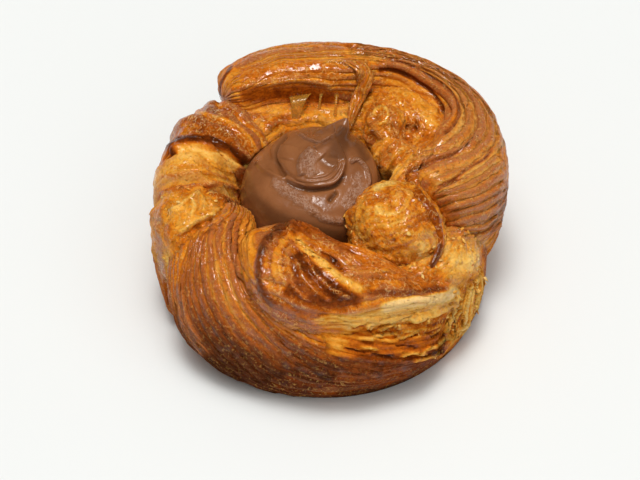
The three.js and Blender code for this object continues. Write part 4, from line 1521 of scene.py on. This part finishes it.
def crust_material():
    shader = Shader("baked_crust")
    place = shader.place()
    bend = shader.node("TexNoise", {"Vector": place, "Scale": BEND_SCALE}).outputs["Color"]
    bent = shader.node("MixRGB", {0: BEND_AMOUNT, 1: place, 2: bend}).outputs[0]
    streaks = layer_streaks(shader)
    wobble = shader.noise(place, WOBBLE_SCALE, detail=4.0, roughness=0.6)
    grain = shader.noise(place, GRAIN_SCALE, detail=4.0, roughness=0.65)
    blotch = shader.noise(place, BLOTCH_SCALE, detail=3.0)
    facets = scaly_facets(shader, bent)
    beads, glint_curls = syrup_marks(shader, place, bent)
    stripe_and_sheen, groove_and_shade = layer_marks(shader, wobble)
    pits = shader.span(shader.noise(place, PIT_SCALE, detail=2.0), *PITS_SET_IN)
    # Pale flecks, partly crumbs and partly painted glints
    flecks_and_glints = shader.span(shader.noise(place, FLECK_SCALE, detail=3.0, roughness=0.6), *FLECKS_SET_IN)
    flecks_and_glints = shader.times(flecks_and_glints, shader.plus(shader.value("stripes"), shader.value("scaly"), clamp=True))

    shades = [
        (streaks, STREAK_SHADE), (grain, GRAIN_SHADE), (blotch, BLOTCH_SHADE), (wobble, WOBBLE_SHADE),
    ]
    changes = [(shader.minus(source, NOISE_MIDDLE), amount) for source, amount in shades]
    browning = shader.total(shader.value("browning"), changes)
    stripe_and_sheen = shader.math("MAXIMUM", stripe_and_sheen, shader.value("tan"))
    stripe_fade = shader.times(shader.span(browning, *STRIPE_FADES_AT), STRIPE_FADE)
    stripe_share = shader.minus(STRIPE_SHARE, stripe_fade)
    tone = shader.ramp(browning, CRUST_STOPS)
    # Grooves painted as shade, and crests painted tan, partly as sheen
    tone = shader.tint(tone, groove_and_shade, *GROOVE_SHADE_TINT)
    tone = shader.tint(tone, stripe_and_sheen, stripe_share, STRIPE_AND_SHEEN_COLOUR)
    tone = shader.tint(tone, pits, *PIT_TINT)
    tone = shader.tint(tone, flecks_and_glints, *FLECK_AND_GLINT_TINT)
    # Pale curls: painted glints
    tone = shader.tint(tone, glint_curls, *CURL_GLINT_TINT)

    wet = shader.times(shader.minus(blotch, WET_LEVEL), WET_CONTRAST)
    wet = shader.plus(shader.value("gloss"), wet, clamp=True)
    height = shader.total(facets, [
        (grain, GRAIN_HEIGHT), (streaks, STREAK_HEIGHT), (groove_and_shade, GROOVE_HEIGHT), (pits, PIT_HEIGHT),
        (flecks_and_glints, FLECK_HEIGHT),
    ])
    glaze = shader.total(shader.times(facets, GLAZE_FACETS), [
        (wobble, WOBBLE_HEIGHT), (beads, BEAD_HEIGHT), (glint_curls, CURL_HEIGHT),
    ])
    shader.set(
        Base_Color=tone,
        Roughness=shader.minus(DRY_ROUGHNESS, shader.times(wet, WET_SMOOTHING)),
        Specular_IOR_Level=0.06,
        Subsurface_Weight=0.1,
        Subsurface_Radius=(1.0, 0.4, 0.1),
        Subsurface_Scale=0.001,
        Coat_Weight=wet,
        Coat_Roughness=GLAZE_ROUGHNESS,
        Coat_IOR=GLAZE_IOR,
        Coat_Normal=shader.bump(glaze),
        Normal=shader.bump(height),
    )
    return shader.material


# Syrup and cream: the same kinds of values
SYRUP_STOPS = [(0.3, colour(232, 168, 56)), (0.7, colour(246, 194, 92))]
SYRUP_SCALE = 500.0
SYRUP_HEIGHT = 0.0003


def syrup_material():
    shader = Shader("set_syrup")
    film = shader.noise(shader.place(), SYRUP_SCALE, detail=3.0)
    shader.set(
        Base_Color=shader.ramp(film, SYRUP_STOPS),
        Roughness=0.1,
        IOR=1.4,
        Transmission_Weight=0.75,
        Normal=shader.bump(shader.times(film, SYRUP_HEIGHT)),
    )
    return shader.material


CREAM_STOPS = [(0.3, colour(134, 82, 46)), (0.7, colour(154, 98, 58))]
# Tint of the painted shade that the cream's details lay on
PAINTED_SHADE_TINT = (0.8, colour(70, 38, 16))
# Pale satin tint: a painted highlight on the grainy bands
PAINTED_SHEEN_TINT = (0.7, colour(186, 146, 122))
MOTTLE_SCALE = 120.0
SPECKLE_SCALE = 1900.0
CREAM_FILM_SCALE = 600.0
SPECKLES_SET_IN = (0.35, 0.6)
CREAM_FILM_SETS_IN = (0.35, 0.55)
SPECKLE_HEIGHT = 0.0006
CREAM_FILM_HEIGHT = 0.00015
CREAM_ROUGHNESS = 0.26
GRAIN_ROUGHNESS = 0.1


def cream_material():
    shader = Shader("chocolate_cream")
    place = shader.place()
    mottle = shader.noise(place, MOTTLE_SCALE, detail=4.0)
    speckle = shader.noise(place, SPECKLE_SCALE, detail=2.0)
    film = shader.noise(place, CREAM_FILM_SCALE, detail=3.0)
    grainy = shader.value("grain")
    # Painted highlight: the satin tint in speckles over the grainy bands
    painted_sheen = shader.times(grainy, shader.span(speckle, *SPECKLES_SET_IN))
    painted_sheen = shader.times(painted_sheen, shader.span(film, *CREAM_FILM_SETS_IN))
    tone = shader.ramp(mottle, CREAM_STOPS)
    # Painted shade, where the details darken the cream
    tone = shader.tint(tone, shader.value("dark"), *PAINTED_SHADE_TINT)
    tone = shader.tint(tone, painted_sheen, *PAINTED_SHEEN_TINT)
    relief = [(film, CREAM_FILM_HEIGHT), (shader.times(speckle, grainy), SPECKLE_HEIGHT)]
    normal = shader.bump(shader.total(0.0, relief))
    shader.set(
        Base_Color=tone,
        Roughness=shader.total(CREAM_ROUGHNESS, [(grainy, GRAIN_ROUGHNESS)]),
        Specular_IOR_Level=0.5,
        Subsurface_Weight=0.1,
        Subsurface_Radius=(0.8, 0.5, 0.3),
        Subsurface_Scale=0.0015,
        Coat_Weight=0.5,
        Coat_Roughness=0.2,
        Coat_Normal=normal,
        Normal=normal,
    )
    return shader.material


# Stage, light and camera

FLOOR_HALF = 3.0
FLOOR_CELLS = 8
FLOOR_STOPS = [(0.3, colour(228, 231, 231)), (0.7, colour(230, 233, 233))]
FLOOR_SCALE = 3.0
LIGHT_COLOUR = (1.0, 0.985, 0.96)
SKY_STOPS = [(0.0, (0.12, 0.115, 0.11, 1)), (0.8, (*LIGHT_COLOUR, 1))]
SKY_STRENGTH = 0.3
OVERHEAD = (0.06, 0.0, -1)
FROM_FRONT = (-0.35, 0.6, -1)


def floor_material():
    shader = Shader("pale_floor")
    mottle = shader.noise(shader.place(), FLOOR_SCALE, detail=2.0)
    shader.set(Base_Color=shader.ramp(mottle, FLOOR_STOPS), Roughness=0.85, Specular_IOR_Level=0.1)
    return shader.material


def make_floor():
    cells = dict(x_subdivisions=FLOOR_CELLS, y_subdivisions=FLOOR_CELLS)
    bpy.ops.mesh.primitive_grid_add(**cells, size=2 * FLOOR_HALF)
    floor = bpy.context.object
    floor.name = "pale_floor"
    floor.data.materials.append(floor_material())


def make_sky():
    """A pale sky, brighter overhead, that lights the part and isn't mirrored in its glaze."""
    world = bpy.data.worlds.new("studio")
    world.use_nodes = True
    nodes, links = world.node_tree.nodes, world.node_tree.links
    direction = nodes.new("ShaderNodeTexCoord")
    split = nodes.new("ShaderNodeSeparateXYZ")
    links.new(direction.outputs["Generated"], split.inputs[0])
    ramp = nodes.new("ShaderNodeValToRGB")
    for element, (place, tone) in zip(ramp.color_ramp.elements, SKY_STOPS):
        element.position = place
        element.color = tone
    links.new(split.outputs["Z"], ramp.inputs["Fac"])
    links.new(ramp.outputs["Color"], nodes["Background"].inputs["Color"])
    nodes["Background"].inputs["Strength"].default_value = SKY_STRENGTH
    world.cycles_visibility.glossy = False
    bpy.context.scene.world = world


def add_sun(name, strength, spread_degrees, direction, glints):
    """A light from far away. Only one that glints is mirrored in the glaze."""
    light = bpy.data.lights.new(name, "SUN")
    light.energy = strength
    light.angle = math.radians(spread_degrees)
    light.color = LIGHT_COLOUR
    lamp = link_object(name, light)
    lamp.visible_glossy = glints
    lamp.rotation_euler = Vector(direction).to_track_quat("-Z", "Y").to_euler()


def make_lights():
    make_sky()
    add_sun("lamp", strength=1.1, spread_degrees=18, direction=OVERHEAD, glints=True)
    add_sun("softbox", strength=1.3, spread_degrees=40, direction=OVERHEAD, glints=False)
    add_sun("front_fill", strength=0.75, spread_degrees=80, direction=FROM_FRONT, glints=False)


def make_camera():
    lens = bpy.data.cameras.new("photo_view")
    lens.sensor_width = SENSOR
    lens.lens = SENSOR * VIEW_DISTANCE / (IMAGE_WIDTH * MM_PER_PIXEL * MM)
    camera = link_object("photo_view", lens)
    back = Vector(TO_CAMERA)
    camera.location = VIEW_AIM + back * VIEW_DISTANCE
    camera.rotation_euler = (-back).to_track_quat("-Z", "Y").to_euler()
    bpy.context.scene.camera = camera
    bpy.context.scene.view_settings.view_transform = "Standard"


make_camera()
make_lights()
make_floor()

pastry, owner = make_pastry()
crust = crust_material()
pastry.data.materials.append(crust)
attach(pastry, "root")
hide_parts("pastry")

flake_piece = make_flakes(pastry, owner)
flake_piece.data.materials.append(crust)
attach(flake_piece, "root")

syrup = make_syrup(pastry)
syrup.data.materials.append(syrup_material())
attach(syrup, "root")

cream = make_cream()
cream.data.materials.append(cream_material())
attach(cream, "root")
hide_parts("chocolate_cream")
